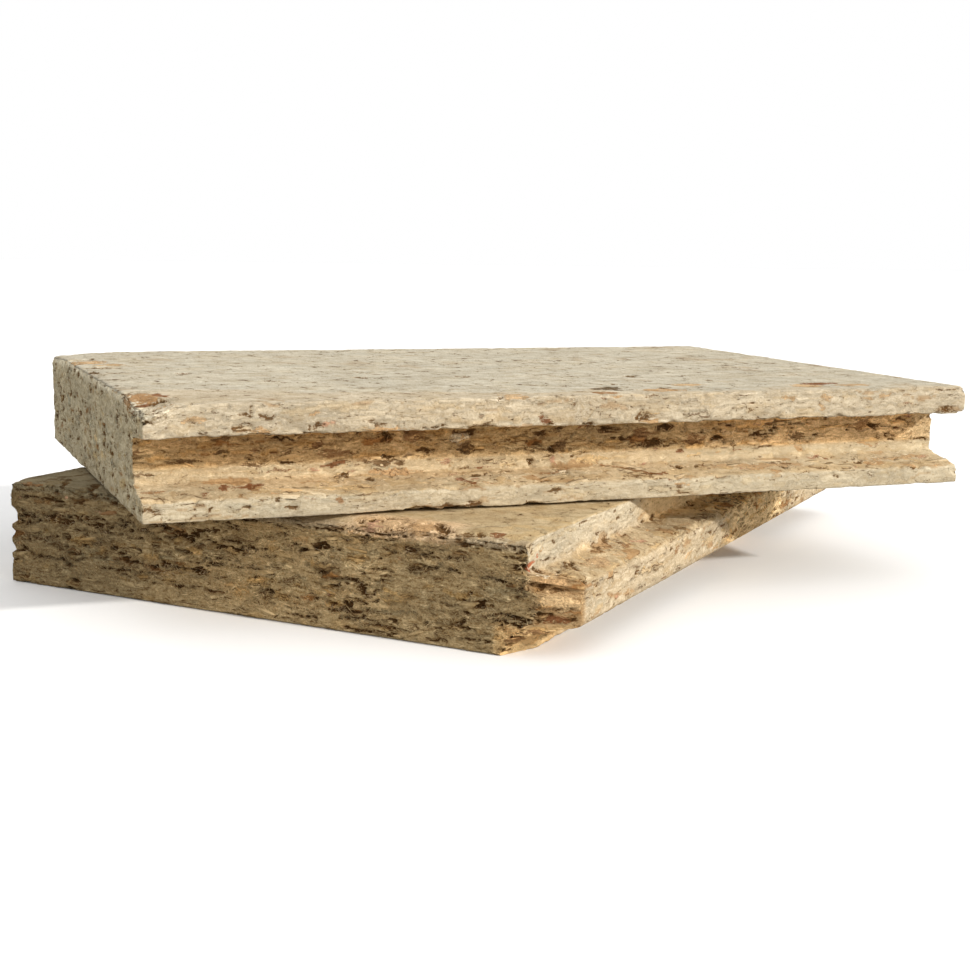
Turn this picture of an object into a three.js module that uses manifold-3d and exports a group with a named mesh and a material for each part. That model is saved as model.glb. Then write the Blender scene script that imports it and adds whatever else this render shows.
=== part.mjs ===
// Two offcuts of tongue-and-groove OSB flooring board, lying crosswise one on the other.
// Millimetres, +Z up. X runs along the grooved edge of the upper offcut and the groove faces -Y.
// The origin is on the floor, under the middle of the stack's bounding box.

import * as THREE from "three";
import { mergeVertices } from "three/addons/utils/BufferGeometryUtils.js";
import Module from "manifold-3d";

const wasm = await Module();
wasm.setup();

// ---- The board, the same for both offcuts ------------------------------
const THICKNESS = 22;
const OFFCUT_LENGTH = 183.5; // along the profiled edge
const OFFCUT_WIDTH = 121.5; // from the profiled edge to the sawn edge behind it
const ARRIS_RADIUS = 0.7; // pressed and sawn edges, slightly worn

// ---- Groove ------------------------------------------------------------
const GROOVE_DEPTH = 10.9; // from the face of the upper lip
const UPPER_LIP = 5.7; // thickness of each lip at its own face
const LOWER_LIP = 4;
const LOWER_LIP_SETBACK = 1.2; // the lower lip is shorter, so that the top faces close first
const UPPER_FLANK_ANGLE = THREE.MathUtils.degToRad(9.3);
const LOWER_FLANK_ANGLE = THREE.MathUtils.degToRad(13.7);
const LIP_RADIUS = 0.9;
const GROOVE_ROOT_RADIUS = 1.5;

// ---- Tongue, which fits the groove with these clearances ---------------
const FLANK_CLEARANCE = 0.3;
const TIP_CLEARANCE = 2.1;
const TIP_RADIUS = 1.5;
const LOWER_SHOULDER_SETBACK = 1.5; // behind the upper shoulder

// ---- Damage at one end of the tongue -----------------------------------
const TEAR_RISE = 2; // how far the tear starts above the tongue
const TEAR_BITE = 1.1; // how far it reaches behind the upper shoulder
const TEAR_STUB = 3; // what is left of the tongue at the sawn end
const TEAR_RUN = 5.5; // along the edge, until the tongue is whole
const CHIP_HEIGHT = 5.2; // the corner knocked off below the tongue
const CHIP_ACROSS = 3.8; // on the underside, from the lower shoulder
const CHIP_ALONG = 10; // along the lower shoulder

// ---- How the upper offcut lies on the lower one ------------------------
const LOWER_TURN = THREE.MathUtils.degToRad(40.9); // of the lower offcut, about +Z
const CORNER_OVERHANG = 30.6; // the lower offcut's near corner, in front of the groove edge
const CORNER_ALONG = 62.6; // the same corner, from the upper offcut's left end
const SEAT_GAP = 0.3; // between the two faces that touch

// ---- Finish ------------------------------------------------------------
const STRAND_BEIGE = 0xcdbb98;
const STRAND_TAN = 0xbba37b;
const WOOD_ROUGHNESS = 0.9;

const ARC_SEGMENTS = 3; // per half of a rounded corner
const CUT_MARGIN = 5; // how far a cutter reaches out of the board

// Heights of the groove's flanks, at a depth measured from the face of the upper lip.
function upperFlank(depth) {
  return THICKNESS - UPPER_LIP - depth * Math.tan(UPPER_FLANK_ANGLE);
}

function lowerFlank(depth) {
  return LOWER_LIP + (depth - LOWER_LIP_SETBACK) * Math.tan(LOWER_FLANK_ANGLE);
}

const TONGUE_LENGTH = GROOVE_DEPTH - TIP_CLEARANCE;

// Heights of the tongue's flanks, at a distance out from the upper shoulder.
function tongueTop(reach) {
  return upperFlank(reach) - FLANK_CLEARANCE;
}

function tongueBottom(reach) {
  return lowerFlank(reach) + FLANK_CLEARANCE;
}

// A closed outline through corners [y, z, radius], in counter-clockwise order.
function roundedOutline(corners) {
  const outline = new THREE.Shape();
  corners.forEach(([y, z, radius], index) => {
    const corner = new THREE.Vector2(y, z);
    const before = new THREE.Vector2(...corners.at(index - 1).slice(0, 2)).sub(corner).normalize();
    const after = new THREE.Vector2(...corners[(index + 1) % corners.length].slice(0, 2)).sub(corner).normalize();
    const halfAngle = Math.acos(before.dot(after)) / 2;
    const toCentre = before.clone().add(after).setLength(radius / Math.sin(halfAngle));
    const centre = corner.clone().add(toCentre);
    const runOut = radius / Math.tan(halfAngle);
    const start = corner.clone().addScaledVector(before, runOut).sub(centre);
    const end = corner.clone().addScaledVector(after, runOut).sub(centre);
    const clockwise = before.cross(after) > 0;
    outline.absarc(centre.x, centre.y, radius, start.angle(), end.angle(), clockwise);
  });
  outline.closePath();
  return outline;
}

// An outline in (y, z), carried along x from the given start.
function alongEdge(outline, start, length) {
  const geometry = new THREE.ExtrudeGeometry(outline, {
    depth: length,
    bevelEnabled: false,
    curveSegments: ARC_SEGMENTS,
  });
  const axes = new THREE.Matrix4().makeBasis(
    new THREE.Vector3(0, 1, 0),
    new THREE.Vector3(0, 0, 1),
    new THREE.Vector3(1, 0, 0),
  );
  return geometry.applyMatrix4(axes).translate(start, 0, 0);
}

// A board of the given section, with its two sawn ends.
function board(section) {
  return alongEdge(section, 0, OFFCUT_LENGTH);
}

function grooveSection() {
  const root = GROOVE_DEPTH;
  return roundedOutline([
    [LOWER_LIP_SETBACK, 0, ARRIS_RADIUS],
    [OFFCUT_WIDTH, 0, ARRIS_RADIUS],
    [OFFCUT_WIDTH, THICKNESS, ARRIS_RADIUS],
    [0, THICKNESS, ARRIS_RADIUS],
    [0, upperFlank(0), LIP_RADIUS],
    [root, upperFlank(root), GROOVE_ROOT_RADIUS],
    [root, lowerFlank(root), GROOVE_ROOT_RADIUS],
    [LOWER_LIP_SETBACK, lowerFlank(LOWER_LIP_SETBACK), LIP_RADIUS],
  ]);
}

function tongueSection() {
  const tip = TONGUE_LENGTH;
  return roundedOutline([
    [LOWER_SHOULDER_SETBACK, 0, ARRIS_RADIUS],
    [OFFCUT_WIDTH, 0, ARRIS_RADIUS],
    [OFFCUT_WIDTH, THICKNESS, ARRIS_RADIUS],
    [0, THICKNESS, ARRIS_RADIUS],
    [0, tongueTop(0), ARRIS_RADIUS],
    [-tip, tongueTop(tip), TIP_RADIUS],
    [-tip, tongueBottom(tip), TIP_RADIUS],
    [LOWER_SHOULDER_SETBACK, tongueBottom(-LOWER_SHOULDER_SETBACK), ARRIS_RADIUS],
  ]);
}

// A cutter whose (y, z) outline at the sawn end moves out past the tongue as x grows.
function slantedCutter(points, outwardPerLength, length) {
  const outline = new THREE.Shape(points.map(([y, z]) => new THREE.Vector2(y, z)));
  const slant = new THREE.Matrix4().makeShear(-outwardPerLength, 0, 0, 0, 0, 0);
  return alongEdge(outline, -CUT_MARGIN, length + CUT_MARGIN).applyMatrix4(slant);
}

// What tore off with the end of the tongue: hollow above and below, with a stub between.
function torn() {
  const outside = -TONGUE_LENGTH - TEAR_BITE - CUT_MARGIN;
  const stubHeight = (tongueTop(TONGUE_LENGTH) + tongueBottom(TONGUE_LENGTH)) / 2;
  const foot = tongueBottom(-LOWER_SHOULDER_SETBACK);
  const points = [
    [0, tongueTop(0) + TEAR_RISE],
    [outside, tongueTop(0) + TEAR_RISE],
    [outside, 0],
    [LOWER_SHOULDER_SETBACK, 0],
    [LOWER_SHOULDER_SETBACK + TEAR_BITE, foot],
    [-TEAR_STUB, stubHeight],
    [TEAR_BITE, tongueTop(0)],
  ];
  const slope = TONGUE_LENGTH / TEAR_RUN;
  return slantedCutter(points, slope, (TONGUE_LENGTH + LOWER_SHOULDER_SETBACK + 2 * TEAR_BITE) / slope);
}

// What was knocked off the corner below the tongue.
function chipped() {
  const foot = tongueBottom(-LOWER_SHOULDER_SETBACK);
  const across = LOWER_SHOULDER_SETBACK + CHIP_ACROSS;
  const lean = CHIP_ACROSS / CHIP_HEIGHT;
  const points = [
    [across + CUT_MARGIN * lean, -CUT_MARGIN],
    [across - foot * lean, foot],
    [-CUT_MARGIN, foot],
    [-CUT_MARGIN, -CUT_MARGIN],
  ];
  return slantedCutter(points, CHIP_ACROSS / CHIP_ALONG, CHIP_ALONG);
}

function toSolid(geometry) {
  const bare = new THREE.BufferGeometry();
  bare.setAttribute("position", geometry.getAttribute("position"));
  if (geometry.index) {
    bare.setIndex(geometry.index);
  }
  const merged = mergeVertices(bare);
  return new wasm.Manifold(new wasm.Mesh({
    numProp: 3,
    vertProperties: Float32Array.from(merged.getAttribute("position").array),
    triVerts: Uint32Array.from(merged.index.array),
  }));
}

function toGeometry(solid) {
  const mesh = solid.getMesh();
  const geometry = new THREE.BufferGeometry();
  geometry.setAttribute("position", new THREE.BufferAttribute(mesh.vertProperties, 3));
  geometry.setIndex(new THREE.BufferAttribute(mesh.triVerts, 1));
  geometry.computeVertexNormals();
  return geometry;
}

// ---- Upper offcut: the grooved edge ------------------------------------
const topPanel = new THREE.Mesh(
  board(grooveSection()),
  new THREE.MeshStandardMaterial({ color: STRAND_BEIGE, roughness: WOOD_ROUGHNESS, metalness: 0 }),
);
topPanel.name = "top_panel";
topPanel.position.z = THICKNESS + SEAT_GAP;

// ---- Lower offcut: the tongued edge, torn at its near end --------------
const bottomPanel = new THREE.Mesh(
  toGeometry(toSolid(board(tongueSection())).subtract(toSolid(torn())).subtract(toSolid(chipped()))),
  new THREE.MeshStandardMaterial({ color: STRAND_TAN, roughness: WOOD_ROUGHNESS, metalness: 0 }),
);
bottomPanel.name = "bottom_panel";
bottomPanel.position.set(CORNER_ALONG, -CORNER_OVERHANG, 0);
bottomPanel.rotation.z = LOWER_TURN;

// ---- The stack, centred over the origin --------------------------------
const panels = new THREE.Group();
panels.add(bottomPanel, topPanel);
const bounds = new THREE.Box3().setFromObject(panels, true);
const middle = bounds.getCenter(new THREE.Vector3());
panels.position.set(-middle.x, -middle.y, -bounds.min.z);

const stack = new THREE.Group();
stack.add(panels);

export default stack;
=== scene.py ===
"""Two offcuts of tongue-and-groove OSB, one lying crosswise on the other: the looks over the CAD part."""

import math
from types import SimpleNamespace

import bpy
import numpy as np
from mathutils import Matrix, Vector
from mathutils.geometry import delaunay_2d_cdt


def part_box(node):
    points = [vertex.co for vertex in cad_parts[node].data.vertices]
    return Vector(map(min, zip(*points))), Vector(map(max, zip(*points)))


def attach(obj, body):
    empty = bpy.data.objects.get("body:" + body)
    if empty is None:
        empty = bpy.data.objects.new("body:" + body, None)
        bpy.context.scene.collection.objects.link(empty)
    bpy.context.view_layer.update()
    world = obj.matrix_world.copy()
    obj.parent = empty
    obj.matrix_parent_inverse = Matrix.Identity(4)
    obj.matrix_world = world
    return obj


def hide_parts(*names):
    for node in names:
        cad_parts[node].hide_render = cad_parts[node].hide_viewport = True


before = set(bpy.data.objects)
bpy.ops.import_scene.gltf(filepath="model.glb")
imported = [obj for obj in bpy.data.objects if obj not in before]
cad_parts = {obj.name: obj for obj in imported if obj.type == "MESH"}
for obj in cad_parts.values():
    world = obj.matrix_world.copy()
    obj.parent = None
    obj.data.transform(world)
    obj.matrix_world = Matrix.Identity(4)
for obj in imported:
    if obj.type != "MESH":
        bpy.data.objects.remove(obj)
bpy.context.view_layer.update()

MM = 0.001
GROOVED, TONGUED = "top_panel", "bottom_panel"

# ---- The board: its size from the frame, its milled edges as in the CAD (mm) ----
low, high = (np.array(corner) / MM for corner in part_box(GROOVED))
LENGTH, WIDTH, THICKNESS = high - low
ARRIS = 0.7
UPPER_LIP, LOWER_LIP, LOWER_LIP_SETBACK = 5.7, 4.0, 1.2
UPPER_LIP_HEIGHT = THICKNESS - UPPER_LIP
UPPER_LIP_ARRIS, BURR = 0.45, 0.5  # the upper lip's lower arris: crisper than the milled round, and burred
GROOVE_DEPTH, LIP_ARRIS, GROOVE_ROOT = 10.9, 0.9, 1.5
UPPER_SLOPE, LOWER_SLOPE = math.tan(math.radians(9.3)), math.tan(math.radians(13.7))
FLANK_CLEARANCE, TIP_CLEARANCE = 0.3, 2.1
TONGUE, TONGUE_TIP, LOWER_SHOULDER_SETBACK = GROOVE_DEPTH - TIP_CLEARANCE, 1.5, 1.5
TEAR_RISE, TEAR_BITE, TEAR_STUB, TEAR_RUN = 2.0, 1.1, 3.0, 5.5
SLIT_HEIGHT, SLIT_RISE, SLIT_DEPTH = 13.9, 0.2, 2.4  # a split in the torn face, lower further out
CHIP_HEIGHT, CHIP_ACROSS, CHIP_ALONG = 5.2, 3.8, 10.0
CORE_TOP, CORE_BOTTOM = (THICKNESS - 4.5, THICKNESS - 7), (2.5, 5)  # heights where the coarse core begins
CLEAR = 0.01  # of the floor

# Each panel's own frame: x along its milled edge, y from that edge inwards, z up.
LOWER_TURN = math.radians(40.9)
LOWER_CORNER = (62.6, -30.6)  # the lower panel's near corner, from the upper one's front left corner
PLACE = {
    GROOVED: Matrix.Translation(Vector(low) * MM),
    TONGUED: Matrix.Translation(Vector((low[0] + LOWER_CORNER[0], low[1] + LOWER_CORNER[1], 0)) * MM)
    @ Matrix.Rotation(LOWER_TURN, 4, "Z"),
}


def upper_flank(depth):
    return UPPER_LIP_HEIGHT - depth * UPPER_SLOPE


def lower_flank(depth):
    return LOWER_LIP + (depth - LOWER_LIP_SETBACK) * LOWER_SLOPE


TONGUE_TOP_HEIGHT = upper_flank(0) - FLANK_CLEARANCE
TONGUE_FOOT_HEIGHT = lower_flank(-LOWER_SHOULDER_SETBACK) + FLANK_CLEARANCE


def groove_corners():
    """(y, z, radius) corners of the section, from the lower front one round under the board."""
    return [
        (LOWER_LIP_SETBACK, 0, ARRIS / 2),
        (WIDTH, 0, ARRIS),
        (WIDTH, THICKNESS, ARRIS),
        (0, THICKNESS, ARRIS),
        (0, UPPER_LIP_HEIGHT, UPPER_LIP_ARRIS),
        (GROOVE_DEPTH, upper_flank(GROOVE_DEPTH), GROOVE_ROOT),
        (GROOVE_DEPTH, lower_flank(GROOVE_DEPTH), GROOVE_ROOT),
        (LOWER_LIP_SETBACK, LOWER_LIP, LIP_ARRIS),
    ]


def tongue_corners():
    return [
        (LOWER_SHOULDER_SETBACK, 0, ARRIS),
        (WIDTH, 0, ARRIS),
        (WIDTH, THICKNESS, ARRIS),
        (0, THICKNESS, ARRIS),
        (0, TONGUE_TOP_HEIGHT, ARRIS),
        (-TONGUE, upper_flank(TONGUE) - FLANK_CLEARANCE, TONGUE_TIP),
        (-TONGUE, lower_flank(TONGUE) + FLANK_CLEARANCE, TONGUE_TIP),
        (LOWER_SHOULDER_SETBACK, TONGUE_FOOT_HEIGHT, ARRIS),
    ]


FRONT_OUTLINE, BACK_OUTLINE = (3, 8), (1, 2)  # the corners of each: the whole milled edge, and the sawn edge

# Colours of the wood, linear: cut, milled and pressed faces, and the marks on them; some also carry painted
# shade or light, as noted.
LIP = (0.555, 0.475, 0.35)
LOWER_LIP_WOOD = (0.54, 0.465, 0.335)
LID = (0.535, 0.487, 0.385)
BROWN_LID = (0.545, 0.425, 0.253)
SAWN = (0.52, 0.455, 0.315)
RAW = (0.55, 0.405, 0.215)
RAW_FAR = (0.325, 0.24, 0.127)
FLANK = (0.605, 0.485, 0.312)
FLANK_PALE = (0.61, 0.515, 0.355)
FLANK_TAN = (0.57, 0.445, 0.275)
# the groove's back in the upper lip's shadow: its browner core wood, with a warm tone that paints in the
# shade and its bounce light; brighter at the open right end as painted bounce light
GROOVE_BACK_PAINTED_SHADE = (0.62, 0.42, 0.21)
GROOVE_BACK_FAR_PAINTED_SHADE = (0.56, 0.395, 0.205)
GROOVE_BACK_END_PAINTED_BOUNCE = (0.82, 0.57, 0.305)
TONGUE_WOOD = (0.555, 0.455, 0.315)
SHOULDER = (0.575, 0.50, 0.37)
TONGUE_TOP = (0.49, 0.375, 0.225)
# painted light: the tongue's wood brighter and warmer where the upper panel's shadow falls on it, standing in
# for warm bounce light
TONGUE_PAINTED_BOUNCE_IN_SHADOW = (0.90, 0.66, 0.36)
TORN_WOOD = (0.46, 0.305, 0.155)
# the groove board's near end top arris: paler rubbed wood, and a painted highlight where the sun misses its
# bevel
RUBBED_ARRIS_PAINTED_HIGHLIGHT = (0.80, 0.73, 0.56)
WORN_ARRIS = (0.42, 0.325, 0.205)
# the lower panel's top face by its far left corner: rough brown wood, darkened further by the upper panel's
# shadow painted in
LID_FAR_ROUGH_AND_PAINTED_SHADE = (0.25, 0.205, 0.125)
TAN_STREAK = (0.67, 0.50, 0.295)
TORN_ARRIS = (0.66, 0.47, 0.28)
CHIPPED = (0.84, 0.565, 0.27)
# the dark of gaps, cracks and pits: partly dark wood and dirt, partly their shade painted in
GAP_BROWN = (0.15, 0.075, 0.028)
GAP_DARK = (0.045, 0.026, 0.010)
STAINS = {
    "bark": (0.20, 0.075, 0.030),
    "honey": (0.52, 0.33, 0.165),
    "gold": (0.64, 0.46, 0.24),
    "tan": (0.52, 0.355, 0.195),
    "cream": (0.74, 0.63, 0.45),
    "splint": (0.57, 0.40, 0.215),
    "umber": (0.16, 0.092, 0.042),
    "lens": (0.36, 0.20, 0.085),
    # dark streaks by the far left corner, dark in themselves and with the painted shade they lie in
    "dusk": (0.15, 0.11, 0.062),
    "red": (0.50, 0.14, 0.06),
    "knot": (0.095, 0.062, 0.031),
    "brown": (0.30, 0.165, 0.075),
    "pink": (0.47, 0.27, 0.17),
}
# How often a strand's own colour differs from the wood round it, and how.
STRAND_TINTS = (
    (0.44, (1.00, 1.00, 1.00)),
    (0.20, (1.10, 1.13, 1.17)),
    (0.14, (1.02, 0.92, 0.76)),
    (0.13, (0.87, 0.80, 0.70)),
    (0.05, (0.64, 0.46, 0.32)),
    (0.04, (0.85, 0.90, 0.95)),
)
# Small bits in the milled edges, and how often.
BITS = (("bark", 0.25), ("honey", 0.25), ("gold", 0.2), ("pink", 0.15), ("tan", 0.15))


# ---- Seeded fields ----------------------------------------------------------
NOISE_TABLE = 4096  # a power of two
HASH_PRIMES = (73856093, 19349663, 83492791)
OFF_LATTICE = 517.3  # keeps the boards away from the lattice's origin


def ramp(value, start, end):
    """0 at start, 1 at end, eased between."""
    t = np.clip((value - start) / (end - start), 0, 1)
    return t * t * (3 - 2 * t)


def noise(points, size, seed, octaves=1):
    """Value noise in -1..1 over points (mm); size is its grain, one number or one per axis."""
    total, weight = 0, 1
    for octave in range(octaves):
        table = np.random.default_rng(seed + octave).uniform(-1, 1, NOISE_TABLE)
        p = points / size * 2.0**octave + OFF_LATTICE
        cell = np.floor(p).astype(np.int64)
        f = p - cell
        f = f * f * (3 - 2 * f)
        for corner in np.ndindex(2, 2, 2):
            hashed = np.bitwise_xor.reduce((cell + corner) * HASH_PRIMES, axis=1)
            value = table[hashed & (NOISE_TABLE - 1)]
            total = total + weight * value * np.prod(np.where(corner, f, 1 - f), axis=1)
        weight *= 0.5
    return total


def bent(points, size, amount, seed):
    """The points carried about by seeded noise, so that shapes measured from them come out ragged."""
    return points + amount * np.stack([noise(points, size, seed + 50 * k, 2) for k in range(3)], 1)


class Nearby:
    """Finds the points in a small box quickly: sorted by layer of z, and by x in each layer."""

    LAYER = 1.0

    def __init__(self, points):
        self.points = points
        layer = np.floor(points[:, 2] / self.LAYER).astype(int)
        self.order = np.lexsort((points[:, 0], layer))
        self.layer = layer[self.order]
        self.x = points[self.order, 0]

    def box(self, centre, reach):
        bottom, top = (int(math.floor((centre[2] + s * reach[2]) / self.LAYER)) for s in (-1, 1))
        found = []
        for layer in range(bottom, top + 1):
            first, last = np.searchsorted(self.layer, (layer, layer + 1))
            a, b = np.searchsorted(self.x[first:last], (centre[0] - reach[0], centre[0] + reach[0]))
            found.append(self.order[first + a : first + b])
        return np.concatenate(found)


def slivers(nearby, rng, seats, long, broad, thick, turn):
    """Flat slivers of wood (or of air) seated at given points: yields each one's points.

    They come as (indices, r, places in the sliver's own frame, half its thickness), with r < 1 inside.
    long, broad, thick: the range of each size. turn: how far the slivers swing, in degrees.
    """
    count = len(seats)
    half_long, half_broad, half_thick = (rng.uniform(*size, count) / 2 for size in (long, broad, thick))
    angles = np.radians(rng.normal(0, turn, count))
    dips = np.tan(np.radians(rng.normal(0, SLIVER_DIP, count)))
    shift = rng.uniform(-1, 1, (count, 3)) * np.stack([half_long, half_broad, half_thick], 1) * 0.6
    for seat, a, b, c, angle, slope, offset in zip(
        seats, half_long, half_broad, half_thick, angles, dips, shift
    ):
        cos, sin = math.cos(angle), math.sin(angle)
        reach = (abs(cos) * a + abs(sin) * b, abs(sin) * a + abs(cos) * b, c + abs(slope) * a)
        centre = seat + offset
        index = nearby.box(centre, reach)
        p = nearby.points[index] - centre
        near = np.abs(p[:, 1]) < reach[1]
        index, p = index[near], p[near]
        along = p[:, 0] * cos + p[:, 1] * sin
        across = p[:, 1] * cos - p[:, 0] * sin
        up = p[:, 2] - along * slope
        r = (along / a) ** 4 + (across / b) ** 2 + (up / c) ** 2
        inside = r < 1
        yield index[inside], r[inside], np.stack([along, across, up], 1)[inside], c


# ---- The panels' mesh, in mm ----------------------------------------------------
COLUMNS = 400  # of points along the milled edge
FINEST = 0.5  # between points at the rim of a pressed face and round its marks
UNDERSIDE_STEP = 4.0  # in the middle of the underside
HIDDEN_STEP, FAR_END_STEP = 0.8, 0.7  # on the sawn edge, and on the far end
COARSE_OUTLINE = 60  # longer than most sides, so that only their ends are kept
PROUD = 0.05  # how far a loose chip may stand out of the board
SLIVER_DIP = 4.0  # degrees
FAR_OFF = 1e9


def rounded_run(corners, first, last, step):
    """Points (y, z) from the start of one corner's arc to the end of another's, about a step apart."""
    run = []
    for index in range(first, last + 1):
        corner = np.array(corners[index % len(corners)][:2])
        radius = corners[index % len(corners)][2]
        before = np.array(corners[(index - 1) % len(corners)][:2]) - corner
        after = np.array(corners[(index + 1) % len(corners)][:2]) - corner
        before, after = before / np.linalg.norm(before), after / np.linalg.norm(after)
        half = math.acos(before @ after) / 2
        centre = corner + (before + after) / np.linalg.norm(before + after) * radius / math.sin(half)
        start, end = (corner + d * radius / math.tan(half) - centre for d in (before, after))
        if run:
            gap = np.linalg.norm(centre + start - run[-1])
            pieces = max(1, round(gap / step))
            run += [run[-1] + (centre + start - run[-1]) * k / pieces for k in range(1, pieces)]
        sweep = math.atan2(start[0] * end[1] - start[1] * end[0], start @ end)
        pieces = max(2, round(abs(sweep) * radius / (step * 0.8)))
        for k in range(pieces + 1):
            angle = sweep * k / pieces
            spin = np.array([[math.cos(angle), -math.sin(angle)], [math.sin(angle), math.cos(angle)]])
            run.append(centre + spin @ start)
    return np.array(run)


def graded(start, end, step, middle_step, edge=8.0):
    """Numbers from start to end, a step apart near both and a middle step between."""
    values = [start]
    while values[-1] < end - step * 0.7:
        inside = min(values[-1] - start, end - values[-1])
        size = step + (middle_step - step) * min(1, inside / edge)
        values.append(values[-1] + size)
    return start + (np.array(values) - start) * (end - start) / (values[-1] - start)


def seeds(rng, lower, upper, finest, wanted, clearance):
    """Scattered points in a rectangle: `wanted` gives their spacing, `clearance` their room to the rim."""
    steps = (np.arange(int((b - a) / finest) + 1) for a, b in zip(lower, upper))
    grid = np.stack(np.meshgrid(*steps), -1).reshape(-1, 2)
    points = lower + grid * finest
    level = np.clip(np.floor(np.log2(wanted(points) / finest + 1e-6) + 0.3), 0, 4).astype(int)
    keep = (grid % (2**level)[:, None] == 0).all(axis=1)
    size = finest * 2.0 ** level[keep]
    points = points[keep] + rng.uniform(-0.28, 0.28, (keep.sum(), 2)) * size[:, None]
    return points[clearance(points) > size * 0.5]


def rim_distance(points, loop):
    """Distance from 2-D points to a closed outline."""
    best = np.full(len(points), FAR_OFF)
    for a, b in zip(loop, np.roll(loop, -1, axis=0)):
        along = b - a
        t = np.clip((points - a) @ along / max(along @ along, 1e-9), 0, 1)
        best = np.minimum(best, np.hypot(*(points - a - t[:, None] * along).T))
    return best


class Shell:
    """A closed skin put together from patches that share their rims."""

    def __init__(self):
        self.points, self.triangles, self.count = [], [], 0

    def add(self, points, triangles):
        self.points.append(points)
        self.triangles.append(np.asarray(triangles) + self.count)
        self.count += len(points)

    def strip(self, grid):
        """A grid of points, rows along the outline and columns along x."""
        rows, columns = grid.shape[:2]
        at = np.arange(rows * columns).reshape(rows, columns)
        a, b, c, d = at[:-1, :-1], at[1:, :-1], at[1:, 1:], at[:-1, 1:]
        odd = (np.add.outer(np.arange(rows - 1), np.arange(columns - 1)) % 2).astype(bool)
        one = np.where(odd[..., None], np.stack([a, b, c], -1), np.stack([a, b, d], -1))
        two = np.where(odd[..., None], np.stack([a, c, d], -1), np.stack([b, c, d], -1))
        self.add(grid.reshape(-1, 3), np.concatenate([one.reshape(-1, 3), two.reshape(-1, 3)]))

    def patch(self, rim, inner, axes, flip):
        """A flat face inside its rim (3-D points in order), over scattered inner points (2-D)."""
        gaps = np.linalg.norm(rim - np.roll(rim, 1, axis=0), axis=1)
        rim = rim[gaps > 1e-3]
        flat = np.concatenate([rim[:, axes], inner])
        loop = [(i, (i + 1) % len(rim)) for i in range(len(rim))]
        _, _, faces, origins, _, _ = delaunay_2d_cdt([Vector(p) for p in flat], loop, [], 1, 1e-6)
        source = np.array([o[0] if o else 0 for o in origins])
        triangles = source[np.array(faces)]
        points = np.empty((len(flat), 3))
        points[:, axes] = flat
        third = ({0, 1, 2} - set(axes)).pop()
        points[:, third] = rim[0, third]
        points[: len(rim)] = rim
        self.add(points, triangles[:, ::-1] if flip else triangles)

    def welded(self):
        """The whole skin: rims joined, and no point left that no triangle uses."""
        points = np.concatenate(self.points)
        triangles = np.concatenate(self.triangles)
        _, first, back = np.unique(np.round(points, 3), axis=0, return_index=True, return_inverse=True)
        triangles = back.reshape(-1)[triangles]
        a, b, c = triangles.T
        used, triangles = np.unique(triangles[(a != b) & (b != c) & (c != a)], return_inverse=True)
        return points[first][used], triangles.reshape(-1, 3)


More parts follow.
